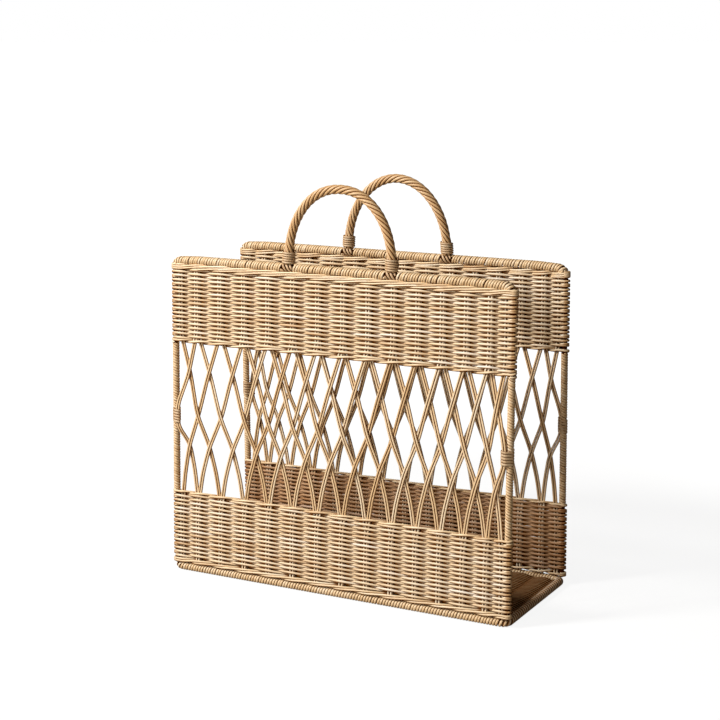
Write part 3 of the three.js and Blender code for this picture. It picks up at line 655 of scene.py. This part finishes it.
def weave_band(low, high, columns, drop, shade):
    """One reed woven to and fro from a band's foot to its top, `drop` lower on the far side.

    At each post every second turn goes once more all round it, so that the post is covered.
    """
    rows = int(round((high - low - REED) / (REED - ROW_PRESS))) + 1
    pitch = (high - low - REED) / (rows - 1)
    first = low + REED / 2
    turns = [0.5 + (row // 2 % 2 != row % 2) for row in range(rows)]
    rises = [EXTRA_RISE if turn > 1 else PLAIN_RISE for turn in turns]
    pieces = []
    for row in range(rows):
        before = first + (row - 0.5) * pitch + rises[row - 1] if row else first
        after = first + (row + 0.5) * pitch - rises[row] if row < rows - 1 else first + row * pitch
        pieces.append(row_line(row, first, pitch, (before, after), columns))
        if row < rows - 1:
            middle = first + (row + 0.5) * pitch
            pieces.append(turn_line(row, middle, rises[row], turns[row], columns.mirror))
    line, out, wide = (np.concatenate(parts) for parts in zip(*pieces))
    line[:, 2] -= drop / 2 * columns.mirror * line[:, 1] / WEAVE_SWING
    tone = 0.5 + drift(len(line), 0.12, 3.5 * SAMPLES)
    wide = wide * (1 + drift(len(line), 0.04, 2 * SAMPLES))
    round_post = smooth((np.abs(line[:, 0]) - HALF_WIDTH + 1) / 2)
    # round a post the weaver's tone is lowered, as painted shade
    tone = tone - POST_PAINTED_SHADE * round_post
    thick = REED - POST_THINNER * round_post
    return Reeds().add(line, out, wide, thick, tone=tone, shade=shade, sides=10)


# Twined borders

TRIPLE_LIFT = REED * 0.5  # a strand's way up and down from its row's middle
UPPER_LIFT, LOWER_LIFT = REED * 0.5, REED * 0.38  # the same in the two paired rows
TRIPLE_TALL = REED * 1.15
PAIRED_TALL, PAIRED_SWELL = REED * 1.03, 0.8  # a strand's height, and its gain over a column
TWINE_WANDER = 0.1  # a twining reed goes up and down by about this much
RAIL_ROWS = (0.2, 0.72)  # of the height between the upper band and the rail


def post_tuck(side, mirror, start, rise):
    """The end of a twining reed, bent round the outside of a post."""
    angle = np.linspace(0, math.pi, 14)
    x = side * (HALF_WIDTH + TURN_RADIUS[side * mirror] * np.sin(angle))
    turned = xyz(x, start[1] * np.cos(angle), start[2] + rise * smooth(angle / 1.5))
    return turned[::-1] if side < 0 else turned


def add_strand(reeds, line, mirror, tall, swell=0.0, rise=0.0):
    """Adds a twining reed that swells over the columns, and tucks its ends round the posts."""
    left, right = post_tuck(-1, mirror, line[0], rise), post_tuck(1, mirror, line[-1], rise)
    line = np.concatenate([left, line, right])
    tone = 0.5 + drift(len(line), 0.13, 3 * SAMPLES)
    tall = tall + swell * np.clip(line[:, 1] / WEAVE_SWING, -1, 1) ** 2
    reeds.add(line, UP, REED, tall, tone=tone, shade=woven_shade)


def triple_row(reeds, middle, columns):
    """Three reeds, each in front of two columns and behind the third, rising as it goes."""
    period = 3
    for strand in range(period):
        phase = (ROW_NUMBERS - strand) % period
        from_front = np.abs((phase - 0.5 + period / 2) % period - period / 2)
        y = -WEAVE_SWING * np.cos(math.pi * np.clip(from_front - 0.5, 0, 1))
        turn = 2 * math.pi * phase / period
        z = middle + TRIPLE_LIFT * (np.sin(turn) / math.sqrt(3) - np.cos(turn))
        x = columns.x(ROW_NUMBERS)
        z = z + drift(len(z), TWINE_WANDER, SAMPLES)
        z = z - rail_sag(x) * smooth((middle - BAND_TOP) / HOOP_BEND)
        add_strand(reeds, xyz(x, y, z), columns.mirror, TRIPLE_TALL)
    return reeds


def paired_row(middle, lift, columns):
    """Two reeds twisted round each other, each in front of every second column."""
    reeds = Reeds()
    for strand in (0, 1):
        turn = math.pi * (ROW_NUMBERS + strand)
        y = -WEAVE_SWING * np.cos(turn)
        z = middle + lift * np.sin(turn) + drift(len(turn), TWINE_WANDER, SAMPLES)
        z = z - FAR_DROP / 2 * columns.mirror * y / WEAVE_SWING
        line = xyz(columns.x(ROW_NUMBERS), y, z)
        rise = (0.5 - strand) * 2 * lift
        add_strand(reeds, line, columns.mirror, PAIRED_TALL, PAIRED_SWELL, rise)
    return reeds


def rail_border(columns):
    """Two rows under the rail, and a few turns round the start of each bend of the hoop."""
    reeds = Reeds()
    height = RAIL_UNDERSIDE - BAND_TOP
    for share in RAIL_ROWS:
        triple_row(reeds, BAND_TOP + share * height, columns)
    bend = HOOP.where(Z_AXIS, BAND_TOP)
    low, high = bend - BEND_OVERLAP, bend + BEND_BARE
    wind(reeds, HOOP, low, high, BEND_WINDING)
    wind(reeds, HOOP, HOOP.length - high, HOOP.length - low, BEND_WINDING)
    return reeds


# Lattice of paired rods

EASE = 9  # rods round their bends over this much height, up and down
ROD_STEP = 3
ROD_LOOK = 2.45  # a rod's width beside its mate
ROD_SQUEEZE = 0.25  # and this much less inside the woven bands
PAIR_APART = 2.6  # between the middles of a pair's rods
PAIR_SPREAD = 0.6  # and this much more inside the bands
STAKE_PAINTED_LIGHT = 0.45  # painted light: how much lighter the rods are inside the bands, where the weave shades them
STAKE_CLEARER = 0.4  # and the share of their shade that is left out there
INSIDE_ABOVE, INSIDE_BELOW = 4, 3  # rods count as inside this far past the lattice's ends


def fold(number):
    """A column's number, turned back at the posts."""
    number = abs(number)
    return 2 * LAST - number if number > LAST else number


def pair_stations(top, way, columns):
    """Where a pair passes on its way down, as rows of x, y and height."""
    turns_back = not 0 <= top + 2 * way <= LAST
    bottom = fold(top + 2 * way)
    way_in = -way if turns_back else way
    top_y = 0 if top in (0, LAST) else way * PAIR_DEPTH
    bottom_y = 0 if bottom in (0, LAST) else way_in * PAIR_DEPTH
    low = (columns.x(fold(top + 1.5 * way)), way_in * PRESS_LIFT, CROSSINGS[2])
    gathered = (columns.x(bottom), bottom_y, LOW_GATHER)
    curve = tuple(a + (b - a) * CURVE_REACH for a, b in zip(low[:2], gathered[:2])) + (CURVE,)
    stations = [
        (columns.x(top), top_y, BAND_TOP if top in (0, LAST) else STAKE_TOP),
        (columns.x(top), top_y, TOP_GATHER),
        (columns.x(fold(top + way / 2)), way * PRESS_LIFT, CROSSINGS[0]),
    ]
    if turns_back:
        half = BINDING_TURNS * BINDING_PITCH / 2 + BINDING_REED / 2 + 1
        x = way * (HALF_WIDTH - BOUND_INSET)
        stations += [(x, -BOUND_DEPTH, BINDING_MIDDLE + way_z * half) for way_z in (1, -1)]
    else:
        stations.append((columns.x(top + way), -way * PRESS_LIFT, CROSSINGS[1]))
    return np.array(stations + [low, curve, gathered, (columns.x(bottom), bottom_y, FOOT)])


def pair_line(top, way, columns):
    """The middle line of a pair: bends rounded, flat where it presses on another pair."""
    x, y, z = pair_stations(top, way, columns)[::-1].T
    heights = np.linspace(z[0], z[-1], int((z[-1] - z[0]) / ROD_STEP) + 1)
    spots = np.linspace(-EASE, EASE, 13)
    rounded = np.mean([np.interp(heights + spot, z, x) for spot in spots], axis=0)
    leg = np.clip(np.searchsorted(z, heights, side="right") - 1, 0, len(z) - 2)
    share = smooth((heights - z[leg]) / (z[leg + 1] - z[leg]))
    return xyz(rounded, y[leg] + (y[leg + 1] - y[leg]) * share, heights)


def inside_bands(line):
    """Whether each point of a rod is inside the bands and their twines."""
    return (line[:, 2] > LATTICE_TOP + INSIDE_ABOVE) | (line[:, 2] < LOWER_TOP - INSIDE_BELOW)


def rod_shade(side):
    """Dark where a pair's two rods meet, and fainter on their outer sides."""

    def shade(line, ring):
        across = side * np.cos(2 * math.pi * np.arange(ring.shape[1]) / ring.shape[1])
        dark = 0.95 * rising(across, 0.66, 3.8) + 0.6 * rising(-across, 0.78, 4.5)
        return (1 - STAKE_CLEARER * inside_bands(line))[:, None] * dark[None]

    return shade


def rod_pair(reeds, line):
    """Two rods side by side along a pair's middle line."""
    aside = unit(np.cross(unit(np.gradient(line, axis=0)), (0, 1, 0)))
    stake = inside_bands(line)
    # inside the bands the rods are lighter, as painted light
    tone = 0.5 + chance.normal(0, 0.09) + STAKE_PAINTED_LIGHT * stake
    wide = ROD_LOOK - ROD_SQUEEZE * stake
    for side in (-1, 1):
        own_line = line + aside * (side / 2 * (PAIR_APART + PAIR_SPREAD * stake))[:, None]
        own_tone = tone + chance.normal(0, 0.05) + drift(len(line), 0.05, 12)
        reeds.add(own_line, OUTSIDE, wide, ROD, tone=own_tone, shade=rod_shade(side), sides=12)


def lattice(columns):
    """Two pairs from each column between the end ones, and one from each of those."""
    reeds = Reeds()
    for number in range(LAST + 1):
        for way in (-1, 1):
            if 0 <= number + way <= LAST:
                rod_pair(reeds, pair_line(number, way, columns))
    return reeds


# Wound pieces

RAIL_SPACING = 3.05  # between the turns of the rail's wrapping
POST_SPACING = 2.85
BEND_BARE = 5.5  # the rail's wrapping starts this far along each bend
BEND_OVERLAP = 0.5  # the bend's turns start this far down in the upper band
BEND_POINTS = 17  # of the hoop's line in a bend
SAG_STEP, SAG_END = 2, 34  # between its points past the bend, and how far they go on
WIND_SAMPLES = 14  # in one turn
POST_SAMPLES = 28  # in one turn of a binding round a post and its rods
OVER_POST = 3.5  # from a post's middle to a binding reed's middle
OVER_ROD = 0.7  # from a bound rod's skin to it
BINDING_THICK = 1.7


def helix(centre, along, reference, radius, angle):
    """Points wound round a line: angle 0 lies on the side of `reference`."""
    other = unit(np.cross(reference, along))
    out = reference * np.cos(angle)[:, None] + other * np.sin(angle)[:, None]
    return centre + out * np.asarray(radius)[..., None], out


def hoop_line():
    """The hoop's middle line from the left foot over the rail to the right foot."""
    bend = np.linspace(0, math.pi / 2, BEND_POINTS)
    arc_x = HOOP_BEND - HALF_WIDTH - HOOP_BEND * np.cos(bend)
    sagging = np.arange(SAG_STEP, SAG_END, SAG_STEP)
    left_x = np.concatenate([arc_x, HOOP_BEND - HALF_WIDTH + sagging])
    rail_z = BAND_TOP + HOOP_BEND * np.sin(bend)
    rail_z = np.concatenate([rail_z, np.full(len(left_x) - len(rail_z), PANEL_HEIGHT)])
    rail_z = rail_z - rail_sag(left_x) * (rail_z - BAND_TOP) / HOOP_BEND
    x = np.concatenate([[-HALF_WIDTH], left_x, -left_x[::-1], [HALF_WIDTH]])
    z = np.concatenate([[FOOT], rail_z, rail_z[::-1], [FOOT]])
    return xyz(x, 0 * x, z)


class Track:
    """A line that can be asked for its point and direction at a distance along it.

    Windings round it start on the side that `reference` points to.
    """

    def __init__(self, line, reference, closed=False):
        line = np.concatenate([line, line[:1]]) if closed else line
        steps = np.linalg.norm(np.diff(line, axis=0), axis=1)
        self.line = line
        self.reference = reference
        self.distance = np.concatenate([[0], np.cumsum(steps)])
        self.length = self.distance[-1]

    def at(self, distance):
        return np.stack([np.interp(distance, self.distance, axis) for axis in self.line.T], axis=1)

    def along(self, distance):
        return unit(self.at(distance + 0.5) - self.at(distance - 0.5))

    def where(self, axis, value):
        """The first distance at which a coordinate reaches a value."""
        passed = np.argmax(self.line[:, axis] >= value)
        low, high = self.line[passed - 1, axis], self.line[passed, axis]
        share = (value - low) / (high - low)
        return self.distance[passed - 1] + share * (self.distance[passed] - self.distance[passed - 1])


class Winding(NamedTuple):
    """How reeds are laid round a track, side by side."""

    lead: float  # along the track in one turn of a reed, below 0 for turns the other way
    strands: int
    radius: float  # from the track to a reed's middle
    wide: float
    thick: float
    # raises the reeds' tone as painted light; below 0 it lowers it as painted shade
    painted_light: float = 0.0
    loose: float = 0.12  # how far the turns wander along the track
    shade: Callable = deep_shade


HOOP = Track(hoop_line(), OUTSIDE)
RAIL_WINDING = Winding(3 * RAIL_SPACING, 3, RAIL_RADIUS - 0.85, 2.9, 1.8, loose=0.3)
POST_WINDING = Winding(3 * POST_SPACING, 3, 2.95, 2.75, 1.9)
BEND_WINDING = Winding(2.3, 1, 2.85, 2.3, 1.9)
# the lashing's tone is lowered, as painted shade
LASHING_WINDING = Winding(-17, 4, 4.2, 2.8, 2.3, painted_light=-0.2)


def wind(reeds, track, start, end, winding):
    """Winds reeds round a track, from one distance along it to another."""
    count = int((end - start) / abs(winding.lead) * WIND_SAMPLES) + 2
    distance = np.linspace(start, end, count)
    centre, along = track.at(distance), track.along(distance)
    for strand in range(winding.strands):
        angle = 2 * math.pi * (distance / winding.lead + strand / winding.strands)
        line, out = helix(centre, along, track.reference, winding.radius, angle)
        line = line + along * drift(count, winding.loose, WIND_SAMPLES)[:, None]
        wide = winding.wide * (1 + drift(count, 0.04, 3 * WIND_SAMPLES))
        # a winding's painted light or shade shifts the tone
        tone = 0.5 + winding.painted_light + drift(count, 0.09, 2 * WIND_SAMPLES)
        reeds.add(line, out, wide, winding.thick, tone=tone, shade=winding.shade)
    return reeds


def post_wrap(side):
    low, high = HOOP.where(Z_AXIS, LOWER_TOP), HOOP.where(Z_AXIS, LATTICE_TOP)
    if side > 0:
        low, high = HOOP.length - high, HOOP.length - low
    return wind(Reeds(), HOOP, low, high, POST_WINDING)


def post_binding(side):
    """Turns of reed round a post and the pair of rods bound to its outer side.

    The reed is taut, so its line is worked out from how far post and rods reach in each direction.
    """
    pair = side * (HALF_WIDTH - BOUND_INSET)
    rods = [(pair + near * PAIR_APART / 2, -BOUND_DEPTH) for near in (-1, 1)]
    count = BINDING_TURNS * POST_SAMPLES + 1
    angle = 2 * math.pi * np.arange(count) / POST_SAMPLES

    def support(at):
        out = np.stack([np.cos(at), np.sin(at)])
        reach = [np.array([side * HALF_WIDTH, 0]) @ out + OVER_POST]
        reach += [np.array(rod) @ out + ROD / 2 + OVER_ROD for rod in rods]
        return np.max(reach, axis=0)

    step = 0.1
    before, here, after = support(angle - step), support(angle), support(angle + step)
    slope = (after - before) / (2 * step)
    x = here * np.cos(angle) - slope * np.sin(angle)
    y = here * np.sin(angle) + slope * np.cos(angle)
    height = BINDING_TURNS * BINDING_PITCH
    z = BINDING_MIDDLE + height / 2 - height * np.arange(count) / (count - 1)
    out = xyz(np.cos(angle), np.sin(angle), 0 * z)
    line = xyz(x, y, z)
    wide, tone = BINDING_PITCH * 0.96, 0.6 + drift(count, 0.06, 14)
    return Reeds().add(line, out, wide, BINDING_THICK, tone=tone, shade=deep_shade)


# Handles

BOW_HALF_SPAN = 61
BOW_RISE = 78
BOW_BASE = PANEL_HEIGHT + 6.3  # where its half ellipse starts
BOW_POINTS = 97
FULLNESS = {1: 2.12, -1: 2}  # of the front and back bow at the shoulders: 2 is a true ellipse
SEAT = PANEL_HEIGHT + 5.7  # where a foot of the bow meets its lashing
FOOT_TUCK = 1.6  # the rope ends this far down in the lashing
ROPE_STRANDS = 6
ROPE_LAY = 44  # along the rope in one turn of a strand
ROPE_STRAND = 3.1
ROPE_RADIUS = 5.0
NECK_RADIUS = 5.4  # of the rope inside its collars
NECK_DEPTH, NECK_LENGTH = 3, 7  # it thins out from this far below a collar's top, over this length
ROPE_STEP = 1.6
COLLAR_START = SEAT - 0.4
COLLAR_TURNS = 5
COLLAR_PITCH = 2.45
COLLAR_RADIUS = 6.2
COLLAR_WIDE, COLLAR_THICK = 2.4, 2.3
COLLAR_SAMPLES = 18  # in one turn
COLLAR_TOP = COLLAR_START + COLLAR_TURNS * COLLAR_PITCH + COLLAR_WIDE / 2
LASHING_HALF = 6.9  # half a lashing's length along the rail
LASHING_INSET = 1  # the middles of its reeds stop this much short of that
LASHING_GAP = 0.3  # from the lashing to the rail's wrapping


def bow_half_span(z):
    """Half the bow's width at a height."""
    rise = np.clip((z - BOW_BASE) / BOW_RISE, 0, 1)
    return BOW_HALF_SPAN * np.sqrt(1 - rise * rise)


def bow_line(shift, full):
    """Half an ellipse, or a little fuller at the shoulders, on two short straight feet."""
    angle = np.linspace(0, math.pi, BOW_POINTS)
    x = -BOW_HALF_SPAN * np.sign(np.cos(angle)) * np.abs(np.cos(angle)) ** (2 / full)
    z = BOW_BASE + BOW_RISE * np.sin(angle) ** (2 / full)
    x = np.concatenate([[-BOW_HALF_SPAN], x, [BOW_HALF_SPAN]]) + shift
    z = np.concatenate([[SEAT - FOOT_TUCK], z, [SEAT - FOOT_TUCK]])
    return xyz(x, 0 * x, z)


def rope(shift, full):
    """A bow of strands laid up left-handed round a core, a little thicker at its collars."""
    reeds = Reeds()
    track = Track(bow_line(shift, full), OUTSIDE)
    count = int(track.length / ROPE_STEP)
    distance = np.linspace(0, track.length, count)
    centre, along = track.at(distance), track.along(distance)
    past_neck = smooth((centre[:, 2] - COLLAR_TOP + NECK_DEPTH) / NECK_LENGTH)
    radius = NECK_RADIUS + (ROPE_RADIUS - NECK_RADIUS) * past_neck
    thick = ROPE_STRAND * radius / ROPE_RADIUS
    for strand in range(ROPE_STRANDS):
        angle = 2 * math.pi * (distance / ROPE_LAY + strand / ROPE_STRANDS)
        line, out = helix(centre, along, track.reference, radius - thick / 2, angle)
        tone = 0.5 + chance.normal(0, 0.06) + drift(count, 0.05, 20)
        reeds.add(line, out, thick * 1.04, thick, tone=tone, shade=deep_shade, sides=12)
    # the core is dark, as painted shade in the gaps between the strands
    reeds.add(centre, track.reference, 2 * (radius - thick * 0.7), tone=0.1, shade=hidden_shade)
    return reeds


def collar(side, shift):
    """Turns of reed round a foot of the bow."""
    count = COLLAR_TURNS * COLLAR_SAMPLES + 1
    angle = 2 * math.pi * np.arange(count) / COLLAR_SAMPLES
    z = COLLAR_START + COLLAR_PITCH * np.arange(count) / COLLAR_SAMPLES
    out = xyz(np.cos(angle), -np.sin(angle), 0 * angle)
    middle = xyz(shift + side * bow_half_span(z), 0 * z, z)
    line = middle + out * COLLAR_RADIUS
    tone = 0.6 + drift(count, 0.06, 12)
    return Reeds().add(line, out, COLLAR_WIDE, COLLAR_THICK, tone=tone, shade=deep_shade)


def lashing(distance):
    """Steep strands round the rail under a foot of the bow."""
    half = LASHING_HALF - LASHING_INSET
    return wind(Reeds(), HOOP, distance - half, distance + half, LASHING_WINDING)


# Panels


def make_panel(where, mirror):
    """The front panel, or the back one with `mirror` -1: each piece stands for its CAD node."""
    place = panel_place(mirror)

    def add(name, reeds, slot):
        build(f"{where}_{name}_reeds", reeds, slot, [f"{where}_{name}"], place)

    low, high = box_mm(f"{where}_handle")
    shift = mirror * (low[0] + high[0]) / 2
    feet = {-1: shift - BOW_HALF_SPAN, 1: shift + BOW_HALF_SPAN}
    word = {side: "left" if side * mirror < 0 else "right" for side in (-1, 1)}

    columns = Columns(mirror)
    # the hoop is painted dark all round, as painted shade between the turns that wrap it
    hoop = Reeds().add(hoop_line(), OUTSIDE, 2 * CANE, tone=0.4, shade=hidden_shade, sides=16)
    add("hoop", hoop, "cane")
    add("foot_twine", triple_row(Reeds(), (FOOT + FOOT_TOP) / 2, columns), "twine")
    low, high = FOOT_TOP + FOOT_GAP, LOWER_TWINE - TWINE_GAP
    add("lower_band", weave_band(low, high, columns, LOWER_FAR_DROP, dim_woven_shade), "weave")
    middle = (LOWER_TWINE + LOWER_TOP) / 2
    add("lower_twine", paired_row(middle, LOWER_LIFT, columns), "twine")
    middle = (LATTICE_TOP + UPPER_TWINE_TOP) / 2
    add("upper_twine", paired_row(middle, UPPER_LIFT, columns), "twine")
    low, high = UPPER_TWINE_TOP - UPPER_BAND_LOWER, BAND_TOP - UPPER_BAND_LOWER
    add("upper_band", weave_band(low, high, columns, FAR_DROP, woven_shade), "weave")
    add("rail_twine", rail_border(columns), "twine")
    add("lattice", lattice(columns), "lattice_rods")
    add("handle", rope(shift, FULLNESS[mirror]), "rope")
    start = HOOP.where(Z_AXIS, BAND_TOP) + BEND_BARE
    gap = LASHING_HALF + LASHING_GAP
    feet_at = {side: HOOP.where(X_AXIS, feet[side]) for side in (-1, 1)}
    stretches = {
        "middle": (feet_at[-1] + gap, feet_at[1] - gap),
        word[-1]: (start, feet_at[-1] - gap),
        word[1]: (feet_at[1] + gap, HOOP.length - start),
    }
    for name, (low, high) in stretches.items():
        add(f"rail_wrap_{name}", wind(Reeds(), HOOP, low, high, RAIL_WINDING), "wrapping")
    for side in (-1, 1):
        add(f"{word[side]}_post_wrap", post_wrap(side), "wrapping")
        add(f"{word[side]}_post_binding", post_binding(side), "binding_reed")
        add(f"handle_{word[side]}_lashing", lashing(feet_at[side]), "binding_reed")
        add(f"handle_{word[side]}_collar", collar(side, shift), "binding_reed")


# Base

CORNER_POINTS = 13
BASE_SPACING = 3.3  # between the turns along the front and the back
END_SPACING = 4.6  # and along the open ends
TURN_SHARE = 0.94  # of the spacing, a reed's width
BASE_WIND_RADIUS = BASE_HEIGHT - 1.0
LONG_WINDING = Winding(2 * BASE_SPACING, 2, BASE_WIND_RADIUS, TURN_SHARE * BASE_SPACING, 2.0)
# the open ends are lighter as painted light, and dark but for their crests as painted shade
END_WINDING = Winding(
    2 * END_SPACING, 2, BASE_WIND_RADIUS, TURN_SHARE * END_SPACING, 2.0, painted_light=0.6, shade=steep_shade
)
FLOOR_STAKES = 13
FLOOR_STAKE = 3.5
FLOOR_END_INSET = 14  # from the ring's middle in to the end stakes
FLOOR_PITCH = 2.2
FLOOR_WANDER = 0.08  # a weaver goes aside by about this much
FLOOR_SWING = 2.35  # from the floor's middle to a weaver's middle
FLOOR_POINTS = 157
FLOOR_BETWEEN, FLOOR_SWELL = 2.25, 0.7  # a weaver's width, and its gain over a stake
END_HASTE = 1.2  # past the end stakes the weavers swing faster by this share
SIDE_GAP, END_GAP = 0.4, 0.6  # from the floor to the base's wrapping


def base_line():
    """The base ring's middle line, anticlockwise from the middle of the front left corner."""
    corners = [(1, -1, -0.5), (1, 1, 0.0), (-1, 1, 0.5), (-1, -1, 1.0)]
    points = []
    for x, y, start in corners:
        angle = math.pi * (start + np.linspace(0, 0.5, CORNER_POINTS))
        along = x * (HALF_WIDTH - BASE_BEND) + BASE_BEND * np.cos(angle)
        across = y * (HALF_DEPTH - BASE_BEND) + BASE_BEND * np.sin(angle)
        points.append(xyz(along, across, 0 * angle))
    line = np.concatenate(points)
    return np.roll(line, CORNER_POINTS // 2, axis=0)


def make_base():
    """The ring, and its wrapping in one stretch from each corner's middle to the next."""
    ring = Reeds().add(base_line(), UP, 2 * CANE, tone=0.4, sides=16, closed=True)
    build("base_ring_cane", ring, "cane", ["base_ring"], base_place)
    track = Track(base_line(), UP, closed=True)
    windings = {"front": LONG_WINDING, "right": END_WINDING, "back": LONG_WINDING, "left": END_WINDING}
    corner_middles = track.distance[::CORNER_POINTS]
    for number, (side, winding) in enumerate(windings.items()):
        reeds = wind(Reeds(), track, *corner_middles[number : number + 2], winding)
        build(f"base_wrap_{side}_reeds", reeds, "wrapping", [f"base_wrap_{side}"], base_place)


def floor_shade(line, ring):
    """Painted shade all over, light only on top, where a weaver passes over a stake."""
    up = smooth(0.7 + line[:, 2] / (2 * FLOOR_SWING))
    return 0.95 - up[:, None] * (0.95 - steep_shade(line, ring))


def make_floor():
    """Weavers along the basket, over and under stakes that run across it."""
    reach_x, reach_y = HALF_WIDTH - BASE_HEIGHT - END_GAP, HALF_DEPTH - BASE_HEIGHT - SIDE_GAP
    end_stake = HALF_WIDTH - FLOOR_END_INSET
    bay = 2 * end_stake / (FLOOR_STAKES - 1)
    count = int(2 * reach_y / FLOOR_PITCH)
    x = np.linspace(-reach_x, reach_x, FLOOR_POINTS)
    place = (x + end_stake) / bay
    beyond = np.clip(np.maximum(-place, place - FLOOR_STAKES + 1), 0, None)
    place = place + np.sign(x) * beyond * END_HASTE
    reeds = Reeds()
    for number in range(count):
        y = (number - (count - 1) / 2) * FLOOR_PITCH + drift(len(x), FLOOR_WANDER, 8)
        height = np.cos(math.pi * (place + number))
        wide = FLOOR_BETWEEN + FLOOR_SWELL * height**2
        line = xyz(x, y, FLOOR_SWING * height)
        tone = 0.5 + drift(len(x), 0.08, 30)
        reeds.add(line, UP, wide, REED * 0.95, tone=tone, shade=floor_shade)
    build("floor_weave_reeds", reeds, "weave", ["floor_weave"], base_place, "floor")
    y = np.linspace(-reach_y, reach_y, 9)
    for number in range(FLOOR_STAKES):
        line = xyz(np.full(len(y), number * bay - end_stake), y, 0 * y)
        stake = Reeds().add(line, UP, FLOOR_STAKE, tone=0.4, sides=12)
        name = f"floor_stake_{number + 1}"
        build(f"{name}_rod", stake, "cane", [name], base_place)


make_panel("front", 1)
make_panel("back", -1)
make_base()
make_floor()
